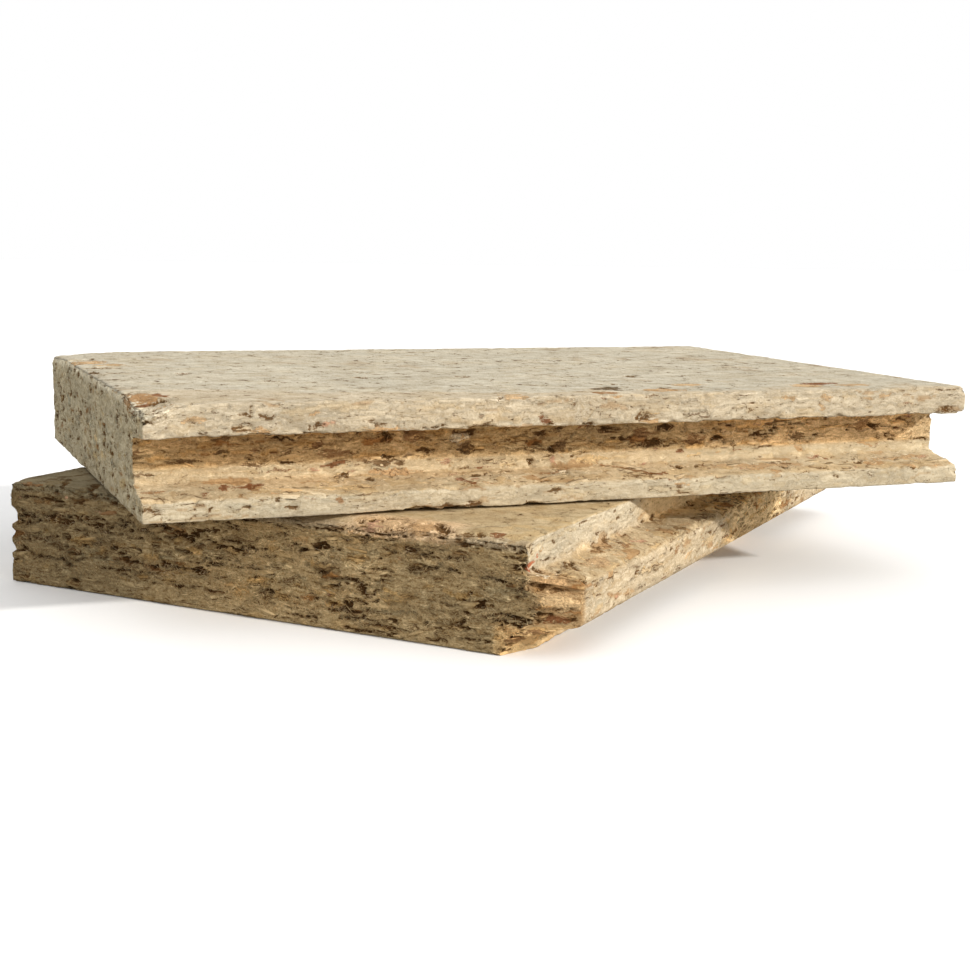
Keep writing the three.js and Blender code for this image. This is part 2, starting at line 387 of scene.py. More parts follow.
def panel_shell(board):
    """The closed skin of a board: fine on the milled edge and near end, coarser where little shows."""
    t = np.linspace(0, 1, COLUMNS + 1)
    stations = LENGTH * (t + board.crowding * (t * t - t))
    front = rounded_run(board.corners, *FRONT_OUTLINE, board.edge_step)
    back = rounded_run(board.corners, *BACK_OUTLINE, HIDDEN_STEP)
    corner_low, corner_high = np.array([0, 0.0]), np.array([LENGTH, WIDTH])

    def carried(run, stations):
        grid = np.empty((len(run), len(stations), 3))
        grid[..., 0] = stations
        grid[..., 1:] = run[:, None]
        return board.torn(grid)

    def sideways(start, end, z):
        """The rims of a pressed face on the near and the far end."""
        rims = {}
        for x, step in ((0, board.end_step), (LENGTH, HIDDEN_STEP)):
            ys = graded(start, end, step, step * 2)
            rims[x] = board.torn(np.stack([np.full_like(ys, x), ys, np.full_like(ys, z)], -1))
        return rims

    front_grid, back_grid = carried(front, stations), carried(back, stations[::2])
    shell = Shell()
    shell.strip(front_grid)
    shell.strip(back_grid)
    under = sideways(front[-1, 0], back[0, 0], 0)
    top = sideways(front[0, 0], back[-1, 0], THICKNESS)
    lid_marks = [row[1:6] for row in board.marks if row[3] > THICKNESS - 1]

    def pressed_face(rims, near_row, far_row, z, widest, marks):
        def wanted(p):
            rim_gap = np.minimum.reduce([p[:, 0], LENGTH - p[:, 0], p[:, 1] - front[0, 0], WIDTH - p[:, 1]])
            spacing = np.clip(FINEST + rim_gap * board.lid_widening, FINEST, widest)
            for mark_x, mark_y, _, long, broad in marks:
                reach = np.hypot(*(p - (mark_x, mark_y)).T) - 0.55 * max(long, broad)
                spacing = np.minimum(spacing, np.clip(FINEST + 0.4 * reach, FINEST, widest))
            return spacing

        def clearance(p):
            front_edge = np.interp(p[:, 0], near_row[:, 0], near_row[:, 1])
            return np.minimum.reduce([p[:, 0], LENGTH - p[:, 0], p[:, 1] - front_edge, back[0, 0] - p[:, 1]])

        rim = np.concatenate([near_row[:-1], rims[LENGTH][:-1], far_row[:0:-1], rims[0][:0:-1]])
        inner = seeds(board.rng, corner_low, corner_high, FINEST, wanted, clearance)
        shell.patch(rim, inner, [0, 1], z == 0)

    def sawn_end(x, step, column):
        sides = [front_grid[:-1, column], under[x][:-1], back_grid[:-1, column], top[x][:0:-1]]
        rim = np.concatenate(sides)
        inner = seeds(
            board.rng,
            np.array([-TONGUE, 0.0]),
            np.array([WIDTH, THICKNESS]),
            step,
            lambda p: np.full(len(p), step),
            lambda p: rim_distance(p, rim[:, 1:]),
        )
        shell.patch(rim, inner, [1, 2], x == 0)

    pressed_face(top, front_grid[0], back_grid[-1], THICKNESS, board.lid_step, lid_marks)
    pressed_face(under, front_grid[-1], back_grid[0], 0, UNDERSIDE_STEP, [])
    sawn_end(0, board.end_step, 0)
    sawn_end(LENGTH, FAR_END_STEP, -1)
    points, triangles = shell.welded()
    return points, triangles, front_grid[:, 0, 1:]


def vertex_normals(points, triangles):
    """Each point's normal, and the area that it stands for."""
    a, b, c = (points[triangles[:, k]] for k in range(3))
    face = np.cross(b - a, c - a)
    share = np.linalg.norm(face, axis=1) / 6
    normals, area = np.zeros_like(points), np.zeros(len(points))
    for corner in triangles.T:
        for axis in range(3):
            normals[:, axis] += np.bincount(corner, face[:, axis], len(points))
        area += np.bincount(corner, share, len(points))
    return normals / np.maximum(np.linalg.norm(normals, axis=1), 1e-9)[:, None], area


def whole(points):
    return points


def torn_tongue(points):
    """The tongue's near end: torn away on a slant and split, with the corner below it knocked off."""
    x, y, z = points[..., 0], points[..., 1], points[..., 2]
    foot, setback = TONGUE_FOOT_HEIGHT, LOWER_SHOULDER_SETBACK
    stub_height = (TONGUE_TOP_HEIGHT + foot) / 2 + 0.6
    heights = [0, foot, stub_height, TONGUE_TOP_HEIGHT, TONGUE_TOP_HEIGHT + TEAR_RISE]
    reach = [setback, setback + TEAR_BITE, -TEAR_STUB, TEAR_BITE, 0]
    tear = np.interp(z, heights, reach) - TONGUE / TEAR_RUN * x
    chip = setback + CHIP_ACROSS * (1 - x / CHIP_ALONG - np.minimum(z, foot) / CHIP_HEIGHT)
    chip -= 8 * np.maximum(z - foot, 0)  # it ends under the tongue
    cut = np.where(z < UPPER_LIP_HEIGHT + TEAR_RISE, np.maximum(tear, chip), -99)
    broken = np.where(y < WIDTH / 2, np.maximum(y, cut), y)
    slit = ramp(np.abs(z - SLIT_HEIGHT - SLIT_RISE * broken), 0.8, 0.3) * ramp(broken, -0.2, -1.2)
    return np.stack([x, broken + SLIT_DEPTH * slit * ramp(cut - y, 0, 0.8), z], -1)


def drawn_inside(points, corners):
    """Points pulled back to the board's outline wherever they stand proud of it."""
    outline = rounded_run(corners, 0, len(corners) - 1, COARSE_OUTLINE)
    best = np.full(len(points), FAR_OFF)
    nearest, outward = np.zeros((2, len(points), 2))
    p = points[:, 1:]
    for a, b in zip(outline, np.roll(outline, -1, axis=0)):
        along = b - a
        length = math.hypot(*along)
        if length < 1e-6:
            continue
        t = np.clip((p - a) @ along / length**2, 0, 1)
        foot = a + t[:, None] * along
        gap = np.hypot(*(p - foot).T)
        closer = gap < best
        best[closer] = gap[closer]
        nearest[closer] = foot[closer]
        outward[closer] = (along[1] / length, -along[0] / length)
    side = ((p - nearest) * outward).sum(axis=1)
    out = (side > 0) & (best > PROUD)
    drawn = points.copy()
    drawn[out, 1:] = nearest[out] + (p[out] - nearest[out]) * (PROUD / best[out])[:, None]
    drawn[:, 0] = np.clip(drawn[:, 0], -PROUD, LENGTH + PROUD)
    return drawn


RIM = 8  # corners of a chip's outline
CHIP_ROOT = 0.5  # how deep a chip reaches into the board


def strand_prisms(rng, seat, normal, along, half_long, half_broad, lift, lean):
    """Thin ragged chips lying in a surface, each a closed prism with a slightly domed face.

    Gives their points, triangles, grain, rimness (1 at the rim) and the points to a chip.
    """
    count = len(seat)
    across = np.cross(normal, along)
    turn = np.linspace(0, 2 * np.pi, RIM, endpoint=False)
    u = np.sign(np.cos(turn)) * np.abs(np.cos(turn)) ** 0.6
    v = np.sign(np.sin(turn)) * np.abs(np.sin(turn)) ** 0.9
    u = u + rng.uniform(-0.16, 0.16, (count, RIM))
    v = v * rng.uniform(0.55, 1.15, (count, RIM)) + rng.uniform(-0.2, 0.2, (count, 1)) * u
    u, v = u * half_long[:, None], v * half_broad[:, None]
    up = lift[:, None] + u * lean[:, :1] + v * lean[:, 1:] + rng.normal(0, 0.02, (count, RIM))

    def laid(u, v, up):
        return (
            seat[:, None]
            + along[:, None] * u[..., None]
            + across[:, None] * v[..., None]
            + normal[:, None] * up[..., None]
        )

    middle_u = rng.uniform(-0.2, 0.2, (count, 1)) * half_long[:, None]
    middle = laid(middle_u, middle_u * 0, lift[:, None] + middle_u * lean[:, :1] + 0.03)
    foot = laid(u, v, np.full((count, RIM), -CHIP_ROOT))
    points = np.concatenate([laid(u, v, up), middle, foot], axis=1)
    grain = np.zeros_like(points)
    grain[..., 0] = np.concatenate([u, middle_u, u], axis=1)
    grain[..., 1] = np.concatenate([v, middle_u * 0, v], axis=1)
    grain += rng.uniform(-400, 400, (count, 1, 3))
    ring = np.arange(RIM)
    after = (ring + 1) % RIM
    faces = np.concatenate(
        [
            np.stack([ring, after, np.full(RIM, RIM)], 1),
            np.stack([ring + RIM + 1, after + RIM + 1, after], 1),
            np.stack([ring + RIM + 1, after, ring], 1),
        ]
    )
    size = 2 * RIM + 1
    triangles = faces[None] + (np.arange(count) * size)[:, None, None]
    rimness = np.tile(np.concatenate([np.ones(RIM), [0.0], np.ones(RIM)]), count)
    return points.reshape(-1, 3), triangles.reshape(-1, 3), grain.reshape(-1, 3), rimness, size


def tangent(normal, swing):
    """A direction in the surface: level, but for a swing."""
    t = np.cross((0, 0, 1), normal)
    t[np.hypot(normal[:, 0], normal[:, 1]) < 0.05] = (1, 0, 0)
    t /= np.linalg.norm(t, axis=1)[:, None]
    return t * np.cos(swing)[:, None] + np.cross(normal, t) * np.sin(swing)[:, None]


def fibres(rng, seat, normal, along, half_long, half_thick):
    """Hair-thin splinters: a tip, a three-cornered waist and a tip, bowed a little off the surface.

    Gives their points, triangles and grain, and the points to a splinter.
    """
    count = len(seat)
    across = np.cross(normal, along)
    bow = rng.uniform(-0.2, 0.6, count)[:, None] * half_long[:, None]
    lift = normal * 0.03
    tips = [seat + lift + s * along * half_long[:, None] - normal * 0.05 for s in (-1, 1)]
    middle = seat + lift + across * bow * 0.5 + normal * np.abs(bow) * 0.12
    ring = [
        middle + (across * math.cos(a) + normal * math.sin(a)) * half_thick[:, None]
        for a in (math.radians(d) for d in (90, 210, 330))
    ]
    points = np.stack([tips[0], *ring, tips[1]], 1)
    shape = np.array([(0, 2, 1), (0, 3, 2), (0, 1, 3), (4, 1, 2), (4, 2, 3), (4, 3, 1)])
    triangles = shape[None] + (np.arange(count) * 5)[:, None, None]
    grain = np.zeros_like(points)
    grain[..., 0] = half_long[:, None] * np.array([-1, 0, 0, 0, 1])
    grain += rng.uniform(-400, 400, (count, 1, 3))
    return points.reshape(-1, 3), triangles.reshape(-1, 3), grain.reshape(-1, 3), 5


def ground_for(points, ground, wanted):
    """The board's colour close to each of some points, found on a 1 mm grid."""
    size = np.array([int(LENGTH) + 24, int(WIDTH) + 34, int(THICKNESS) + 6])
    sums = np.zeros((size.prod(), 4))

    def cell(p):
        index = np.clip(np.round(p + (6, 14, 2)).astype(int), 0, size - 1)
        return (index[:, 0] * size[1] + index[:, 1]) * size[2] + index[:, 2]

    at = cell(points)
    for k in range(3):
        sums[:, k] = np.bincount(at, ground[:, k], len(sums))
    sums[:, 3] = np.bincount(at, minlength=len(sums))
    found = sums[cell(wanted)]
    known = found[:, 3] > 0
    colour = np.tile(ground.mean(axis=0), (len(wanted), 1))
    colour[known] = found[known, :3] / found[known, 3:]
    return colour


def make_piece(name, node, points, triangles, fields, vectors, material):
    """A mesh that rides on the stack and stands for a CAD node; its fields are read by the material."""
    mesh = bpy.data.meshes.new(name)
    mesh.from_pydata(points * MM, [], triangles.tolist())
    mesh.transform(PLACE[node])
    for field, value in fields.items():
        attribute = mesh.attributes.new(field, "FLOAT", "POINT")
        attribute.data.foreach_set("value", value.astype(np.float32))
    for field, value in vectors.items():
        attribute = mesh.attributes.new(field, "FLOAT_VECTOR", "POINT")
        attribute.data.foreach_set("vector", value.astype(np.float32).ravel())
    mesh.shade_smooth()
    mesh.materials.append(material)
    piece = bpy.data.objects.new(name, mesh)
    bpy.context.scene.collection.objects.link(piece)
    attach(piece, "root")
    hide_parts(node)


def on_floor(points):
    """The points kept between the floor and the top of the board."""
    points[:, 2] = np.clip(points[:, 2], CLEAR, THICKNESS)
    return points


# ---- A board, from its skin to its loose chips -----------------------------------
class Panel(SimpleNamespace):
    """One board, made from its named settings: its closed skin, and what lies at each point of it."""

    def __init__(self, **settings):
        super().__init__(**settings)
        self.rng = np.random.default_rng(self.seed)
        self.points, self.triangles, self.front = panel_shell(self)
        self.normals, self.area = vertex_normals(self.points, self.triangles)
        self.find_zones()
        points, count = self.points, len(self.points)
        self.wandering = bent(points, 2.0, (0.9, 0.9, 0.45), self.seed + 3)
        self.nearby = Nearby(self.wandering)
        gaps = [np.hypot(points[:, 1] - y, points[:, 2] - z) for y, z, _ in self.corners]
        self.arris_gap = np.minimum.reduce(gaps)
        self.arris = ramp(self.arris_gap, 2.2, 0.3)
        edge, lid = self.edge[:, None], self.lid[:, None]
        self.grain = self.wandering * (edge * (0.3, 0.3, 2.2) + lid * (0.10, 0.22, 1.0))
        self.crumb = self.wandering * (edge * (0.30, 0.30, 1.15) + lid * (0.30, 0.19, 0.95))
        self.layer = points[:, 2] / 1.1
        self.relief, self.void, self.seam, self.mark, self.opened = np.zeros((5, count))
        self.hue, self.stain = np.zeros((count, 3)), np.ones((count, 3))

    def find_zones(self):
        """Weights from 0 to 1: pressed faces, milled edge, near end, what hardly shows, coarse core."""
        facing = np.abs(self.normals)
        x, y, z = self.points.T
        self.broken = self.frayed(x, y, z)
        level = ramp(facing[:, 2], 0.6, 0.85) * (ramp(z, THICKNESS - 1.2, THICKNESS) + ramp(-z, -1.2, 0))
        self.lid = level * (1 - self.broken)
        self.edge = np.clip(1 - self.lid, 0, 1)
        self.end_gap = np.minimum(x, LENGTH - x)
        sawn = ramp(facing[:, 0], 0.6, 0.85) * ramp(self.end_gap, 0.6, 0.1)
        self.core = ramp(z, *CORE_TOP) * ramp(z, *CORE_BOTTOM)
        self.milled = np.clip(self.edge - sawn, 0, 1) * (y < WIDTH / 2)
        self.near_end = sawn * (x < LENGTH / 2)
        self.hidden = np.clip(self.edge - self.milled - self.near_end, 0, 1)
        self.busy = 1 + self.milled * (self.bustle(self) - 1)
        rough_end = self.near_end * (0.12 + self.raw_end * (0.6 + 0.4 * self.core))
        rough = np.maximum(self.milled * self.core * 0.45 * self.busy, rough_end)
        self.rough = np.maximum(rough, np.maximum(self.hidden * self.core, self.broken) * 0.6)

    def picked(self, per_cm2, weight):
        """Points picked at random, so many to the cm2 where the weight is 1."""
        share = self.area * weight
        count = int(per_cm2 * share.sum() / 100)
        return self.rng.choice(len(share), count, p=share / share.sum()) if count else np.zeros(0, int)

    def strewn(self, per_cm2, weight, *sizes):
        """Slivers seated at picked points."""
        return slivers(self.nearby, self.rng, self.wandering[self.picked(per_cm2, weight)], *sizes)

    def lay_strands(self):
        """Strands, one over another, each with its own tint, grain and level, some with a dark line below: a
        painted shadow under the strand's edge.
        """
        raw_end, rng, core = self.raw_end, self.rng, self.core
        gaping = 0.05 + 0.22 * self.milled * core + self.near_end * (0.42 * raw_end + 0.06)
        gaping = (gaping + 0.2 * self.hidden * core) * self.busy**1.5
        fibre = 2.2 - 0.8 * (1 - raw_end)
        shares, tints = zip(*STRAND_TINTS)
        tints = np.log(np.array(tints))
        # slivers' density, place, sizes and swing, then their unevenness and how many have a dark line: a
        # painted shadow below
        layers = (
            (22, self.edge, (4, 18), (1.5, 5), (0.5, 1.4), 45, 0.05, 0.45),
            (5, self.lid, (6, 26), (2, 7), (0.5, 1), 60, 0.03, 0.0),
        )
        for *strands, step, lined in layers:
            for index, r, inner, half_thick in self.strewn(*strands):
                self.relief[index] = rng.normal(0, step) + rng.normal(0, 1) * self.rough[index] * 0.15
                self.hue[index] = tints[rng.choice(len(shares), p=shares)] + rng.normal(0, 0.055)
                if lined:
                    self.grain[index] = inner * (0.22, fibre, fibre) + rng.uniform(-4, 4, 3)
                self.layer[index] = inner[:, 2] / 1.2 + rng.uniform(0, 1)
                self.opened[index] = (rng.random() < gaping[index]) * rng.uniform(0.4, 1.0)
                rim_gap = (1 - np.sqrt(r)) * half_thick
                below = (inner[:, 2] < 0) * (rng.random() < lined)
                # a painted shadow along the strand's lower edge
                self.seam[index] = below * np.clip(1 - rim_gap / 0.35, 0, 1) * rng.uniform(0.6, 1.0)

    def open_gaps(self):
        """Gaps between strands: a few on the faces and lips, many in the core and on a raw end."""
        raw_end, milled, core = self.raw_end, self.milled, self.core
        loose = ramp(noise(self.points, (14, 14, 4), self.seed + 7, 2), -0.7, 0.6) * self.busy**1.5
        upper = ramp(self.points[:, 2], 2, 4)
        raw, calm = self.near_end * raw_end, self.near_end * (1 - raw_end)
        skin = self.edge * (1 - core) * (1 - raw)
        # density, place, length, breadth and thickness in mm, swing, depth
        gaps = (
            (1.6, skin * loose, (0.8, 3.5), (0.8, 2.2), (0.3, 0.8), 35, (0.5, 1.0)),
            (1.5, skin * self.arris * milled * upper, (2, 7), (1, 2.5), (0.4, 1.0), 15, (0.6, 1.0)),
            (4.0 - 2 * raw_end, milled * core * loose, (1.5, 7), (1, 3), (0.3, 1.0), 25, (0.5, 1.0)),
            (13, calm * loose, (0.8, 3), (1.5, 5), (0.8, 1.8), 30, (0.7, 1.0)),
            (19, raw * (0.3 + 0.7 * core) * loose, (0.8, 3), (1.0, 4.0), (0.35, 0.9), 30, (0.5, 1.0)),
            (1.2, raw * core * loose, (1, 4), (2.0, 5.0), (0.9, 1.6), 30, (0.6, 1.1)),
            (8, raw * loose, (1, 3), (4, 13), (0.3, 0.6), 12, (0.5, 0.9)),
            (14, self.broken, (1, 4), (1, 3), (0.5, 1.2), 40, (0.5, 1.0)),
            (4, self.hidden * core * loose, (1.5, 7), (1.5, 7), (0.5, 1.6), 60, (0.4, 1.0)),
        )
        for *sizes, deep in gaps:
            for index, r, _, _ in self.strewn(*sizes):
                depth = ramp(1 - r, 0, 0.5) * self.rng.uniform(*deep)
                self.void[index] = np.maximum(self.void[index], depth)

    def scatter_bits(self):
        """Small bits of bark and heartwood."""
        kinds, shares = zip(*BITS)
        places = self.milled * (0.25 + 0.75 * self.core)
        places = places + 0.5 * self.near_end * self.raw_end + 0.25 * self.hidden
        for index, r, _, _ in self.strewn(2.2, places, (2.0, 8), (0.8, 2.4), (0.35, 0.9), 20):
            self.mark[index] = ramp(1 - r, 0, 0.6) * self.rng.uniform(0.5, 1.0)
            self.stain[index] = STAINS[kinds[self.rng.choice(len(kinds), p=shares)]]

    def place_marks(self):
        """The board's single marks, each a ragged blot of a stain or a gap."""
        shaken = bent(self.wandering, 0.9, (0.5, 0.5, 0.25), self.seed + 17)
        for kind, x, y, z, long, broad, high, *turn in self.marks:
            centre = np.array([x, y, z])
            index = self.nearby.box(centre, np.array([long, broad, high]) + (broad, long, 1.0))
            p = shaken[index] - centre
            angle = math.radians(*turn or [0])
            cos, sin = math.cos(angle), math.sin(angle)
            along, across = p[:, 0] * cos + p[:, 1] * sin, p[:, 1] * cos - p[:, 0] * sin
            r = (2 * along / long) ** 2 + (2 * across / broad) ** 2 + (2 * p[:, 2] / high) ** 2
            if kind == "gap":
                self.void[index] = np.maximum(self.void[index], ramp(r, 1.5, 0.1))
                continue
            cover = ramp(r, 1.6, 0.1)
            stronger = cover >= self.mark[index]
            self.mark[index] = np.maximum(self.mark[index], cover)
            self.void[index] *= 1 - cover
            self.stain[index[stronger & (r < 4)]] = STAINS[kind]

    def cut_relief(self):
        """How far each point stands out: gaps and chipped arrises go in, and the rest is uneven."""
        seed, points, rough, milled = self.seed, self.points, self.rough, self.milled
        _, y, z = points.T
        chips = ramp(noise(self.wandering, (2.6, 2.6, 2.0), seed + 9, 2), 0.1, 0.8)
        chips = chips * self.arris * (0.3 + 0.7 * ramp(z, 1.5, 4))
        relief = self.relief - (self.void * (0.5 + 0.7 * rough) + chips * (0.7 + 0.4 * rough))
        relief *= 1 - 0.5 * milled * (1 - np.minimum(self.busy, 1))
        relief += 0.08 * noise(points, (9, 9, 3), seed + 1) * self.edge
        fine = noise(self.wandering, (1.6, 1.6, 1.0), seed + 2, 2)
        relief += (0.03 + 0.13 * rough) * fine * ramp(z, -1, 2)
        relief -= 0.08 + 0.14 * rough
        self.relief = relief * (1 - 0.75 * milled * ramp(y, -5.5, -8) * ramp(z, 10, 7))

    def shaped(self):
        """The skin's points with their relief, the ends' rims rounded off and the wear of the whole board."""
        seed, points = self.seed, self.points
        x, _, z = points.T
        rim = np.concatenate([self.front, [(WIDTH, 0), (WIDTH, THICKNESS)]])
        on_end = self.end_gap < 1e-6
        gap = self.end_gap.copy()
        gap[on_end] = rim_distance(points[on_end][:, 1:], rim)
        top = ramp(z, THICKNESS - 2.5, THICKNESS - 1.2)
        radius = 0.5 + 0.25 * noise(points, 4, seed + 5) + top * (1.1 + 0.5 * noise(points, 6, seed + 6))
        radius *= np.where(x > LENGTH / 2, 0.5, 1)
        inset = 0.29 * radius * np.clip(1 - gap / radius, 0, 1) ** 2 * np.where(gap < 1e-3, 1.41, 1)
        moved = self.worn(points + self.normals * (self.relief - inset)[:, None])
        return on_floor(moved)

    def coloured(self):
        """The ground colour: the board's own by place, then its strands'."""
        points, edge = self.points, self.edge
        ground = np.tile(LIP, (len(points), 1))
        for weight, colour in self.coats(self):
            ground += weight[:, None] * (np.array(colour) - ground)
        strands = edge * (0.48 + 0.47 * self.core) * self.busy * (1 + 0.2 * self.near_end)
        strands = self.lid * (0.22 + 0.3 * self.raw_end) + strands
        ground *= np.exp(self.hue * strands[:, None])
        cloudy = noise(points, (9, 9, 3.5), self.seed + 11, 3)[:, None]
        return ground * (1 + (0.08 + 0.06 * edge[:, None]) * cloudy)

    def make_board(self, ground, material):
        points, edge, mark = self.points, self.edge, self.mark
        self.stain[mark <= 0] = ground[mark <= 0]
        patchy = noise(points, (26, 16, 5), self.seed + 19, 2)
        fields = {
            "void": self.void,
            "seam": self.seam * edge,
            "lid": self.lid * (1 - 0.5 * self.raw_end) * (0.8 + 0.45 * patchy),
            "busy": self.busy,
            "rough": self.rough,
            "core": self.core * edge,
            "mark": mark,
            "layer": self.layer + 0.35 * noise(points, (5, 5, 2.2), self.seed + 13, 2),
            "open": self.opened * edge,
        }
        vectors = {"ground": ground, "grain": self.grain, "crumb": self.crumb, "stain": self.stain}
        name = self.node + "_strandboard"
        make_piece(name, self.node, self.shaped(), self.triangles, fields, vectors, material)

    def loose_chips(self):
        """Chips lying in the faces: (points, triangles, grain, rimness, points to a chip)."""
        rng, raw_end, milled = self.rng, self.raw_end, self.milled
        flat = ramp(np.abs(self.normals).max(axis=1), 0.9, 0.96) * (self.arris_gap > 0.9) * (self.void < 0.3)
        off_end = self.end_gap > 1.5
        shares = (
            (1.8 - 1.3 * raw_end, flat * milled * self.core * off_end),
            (3, flat * self.near_end * raw_end * (self.end_gap < 1e-6)),
            (2, flat * self.hidden * off_end),
        )
        chosen = np.concatenate([self.picked(*share) for share in shares])
        count = len(chosen)
        normal = self.normals[chosen]
        coarse = self.rough[chosen]
        level = ramp(np.abs(normal[:, 2]), 0.5, 0.95)
        half_long = rng.uniform(0.6, 2.6, count) * (1 + level)
        half_broad = half_long * rng.uniform(0.12, 0.32, count)
        along = tangent(normal, np.radians(rng.normal(0, 1, count) * (9 + 12 * level)))
        lift = rng.normal(0, 0.04, count) + self.relief[chosen]
        lean = rng.normal(0, 1, (count, 2)) * np.stack([0.01 + 0.03 * coarse, 0.05 + 0.16 * coarse], 1)
        return strand_prisms(rng, self.points[chosen], normal, along, half_long, half_broad, lift, lean)

    def fuzz(self):
        """Torn fibres on the raw wood: (points, triangles, grain, points to a fibre)."""
        rng, z = self.rng, self.points[:, 2]
        fuzzy = np.clip(self.rough * 1.3, 0, 1) * (ramp(z, 1, 3) * ramp(z, THICKNESS - 1, THICKNESS - 3))
        fuzzy *= 0.25 + 1.3 * ramp(noise(self.points, (9, 9, 4), self.seed + 23, 2), -0.2, 0.6)
        bare = self.near_end + 0.12 * self.milled + 0.05 * self.hidden
        chosen = self.picked(520, fuzzy * bare * (self.void < 0.8))
        count = len(chosen)
        normal = self.normals[chosen]
        along = tangent(normal, np.radians(rng.normal(0, 1, count) * 45))
        seat = self.points[chosen] + normal * self.relief[chosen, None]
        half_long, half_thick = rng.uniform(0.3, 1.4, count), rng.uniform(0.035, 0.09, count)
        return fibres(rng, seat, normal, along, half_long, half_thick)

    def make_strands(self, ground, material):
        rng = self.rng
        chip, faces, chip_grain, rimness, size = self.loose_chips()
        hair, hair_faces, hair_grain, hair_size = self.fuzz()
        bits = drawn_inside(np.concatenate([chip, hair]), self.corners)
        bits = on_floor(self.worn(self.torn(bits)))
        chips_made, hairs_made = len(chip) // size, len(hair) // hair_size

        def each(chip_value, hair_value):
            return np.concatenate([np.repeat(chip_value, size), np.repeat(hair_value, hair_size)])

        fields = {
            "tone": each(rng.normal(0.3, 1, chips_made), rng.normal(1.9, 0.9, hairs_made)),
            "hue": each(rng.uniform(0, 0.95, chips_made), rng.uniform(0, 0.9, hairs_made)),
            "rimness": np.concatenate([rimness, np.zeros(len(hair))]),
        }
        vectors = {
            "grain": np.concatenate([chip_grain, hair_grain]),
            "ground": ground_for(self.points, ground, bits),
        }
        faces = np.concatenate([faces, hair_faces + len(chip)])
        make_piece(self.node + "_strands", self.node, bits, faces, fields, vectors, material)

    def make(self, board_material, chip_material):
        self.lay_strands()
        self.open_gaps()
        self.scatter_bits()
        self.place_marks()
        self.cut_relief()
        ground = self.coloured()
        self.make_board(ground, board_material)
        self.make_strands(ground, chip_material)


# ---- Material ----------------------------------------------------------------------
DARK_GRAIN, PALE_GRAIN = (0.60, 0.52, 0.41), (1.30, 1.34, 1.38)  # times the wood's own colour
DARK_CHIP, PALE_CHIP = (0.60, 0.52, 0.40), (1.5, 1.54, 1.58)
GOLD_CHIP = (1.05, 0.84, 0.60)
# GAP_RIM darkens the rim round a gap: partly darker wood, partly painted shade
PALE_FLECK, HALO, GAP_RIM = (1.85, 1.92, 2.0), (0.78, 0.60, 0.41), (0.55, 0.42, 0.27)
DARK_STAIN, PALE_STAIN = (0.45, 0.43, 0.41), (1.6, 1.6, 1.6)
SHEEN = 0.04
SEEING_RAYS = ("Camera", "Glossy", "Transmission")


class Value:
    """A number in a material's node tree: arithmetic on it adds Math nodes."""

    def __init__(self, graph, socket):
        self.graph, self.socket = graph, socket

    def __add__(self, other):
        return self.graph.math("ADD", self, other)

    def __radd__(self, other):
        return self.graph.math("ADD", other, self)

    def __sub__(self, other):
        return self.graph.math("SUBTRACT", self, other)

    def __mul__(self, other):
        return self.graph.math("MULTIPLY", self, other)

    def __truediv__(self, other):
        return self.graph.math("DIVIDE", self, other)


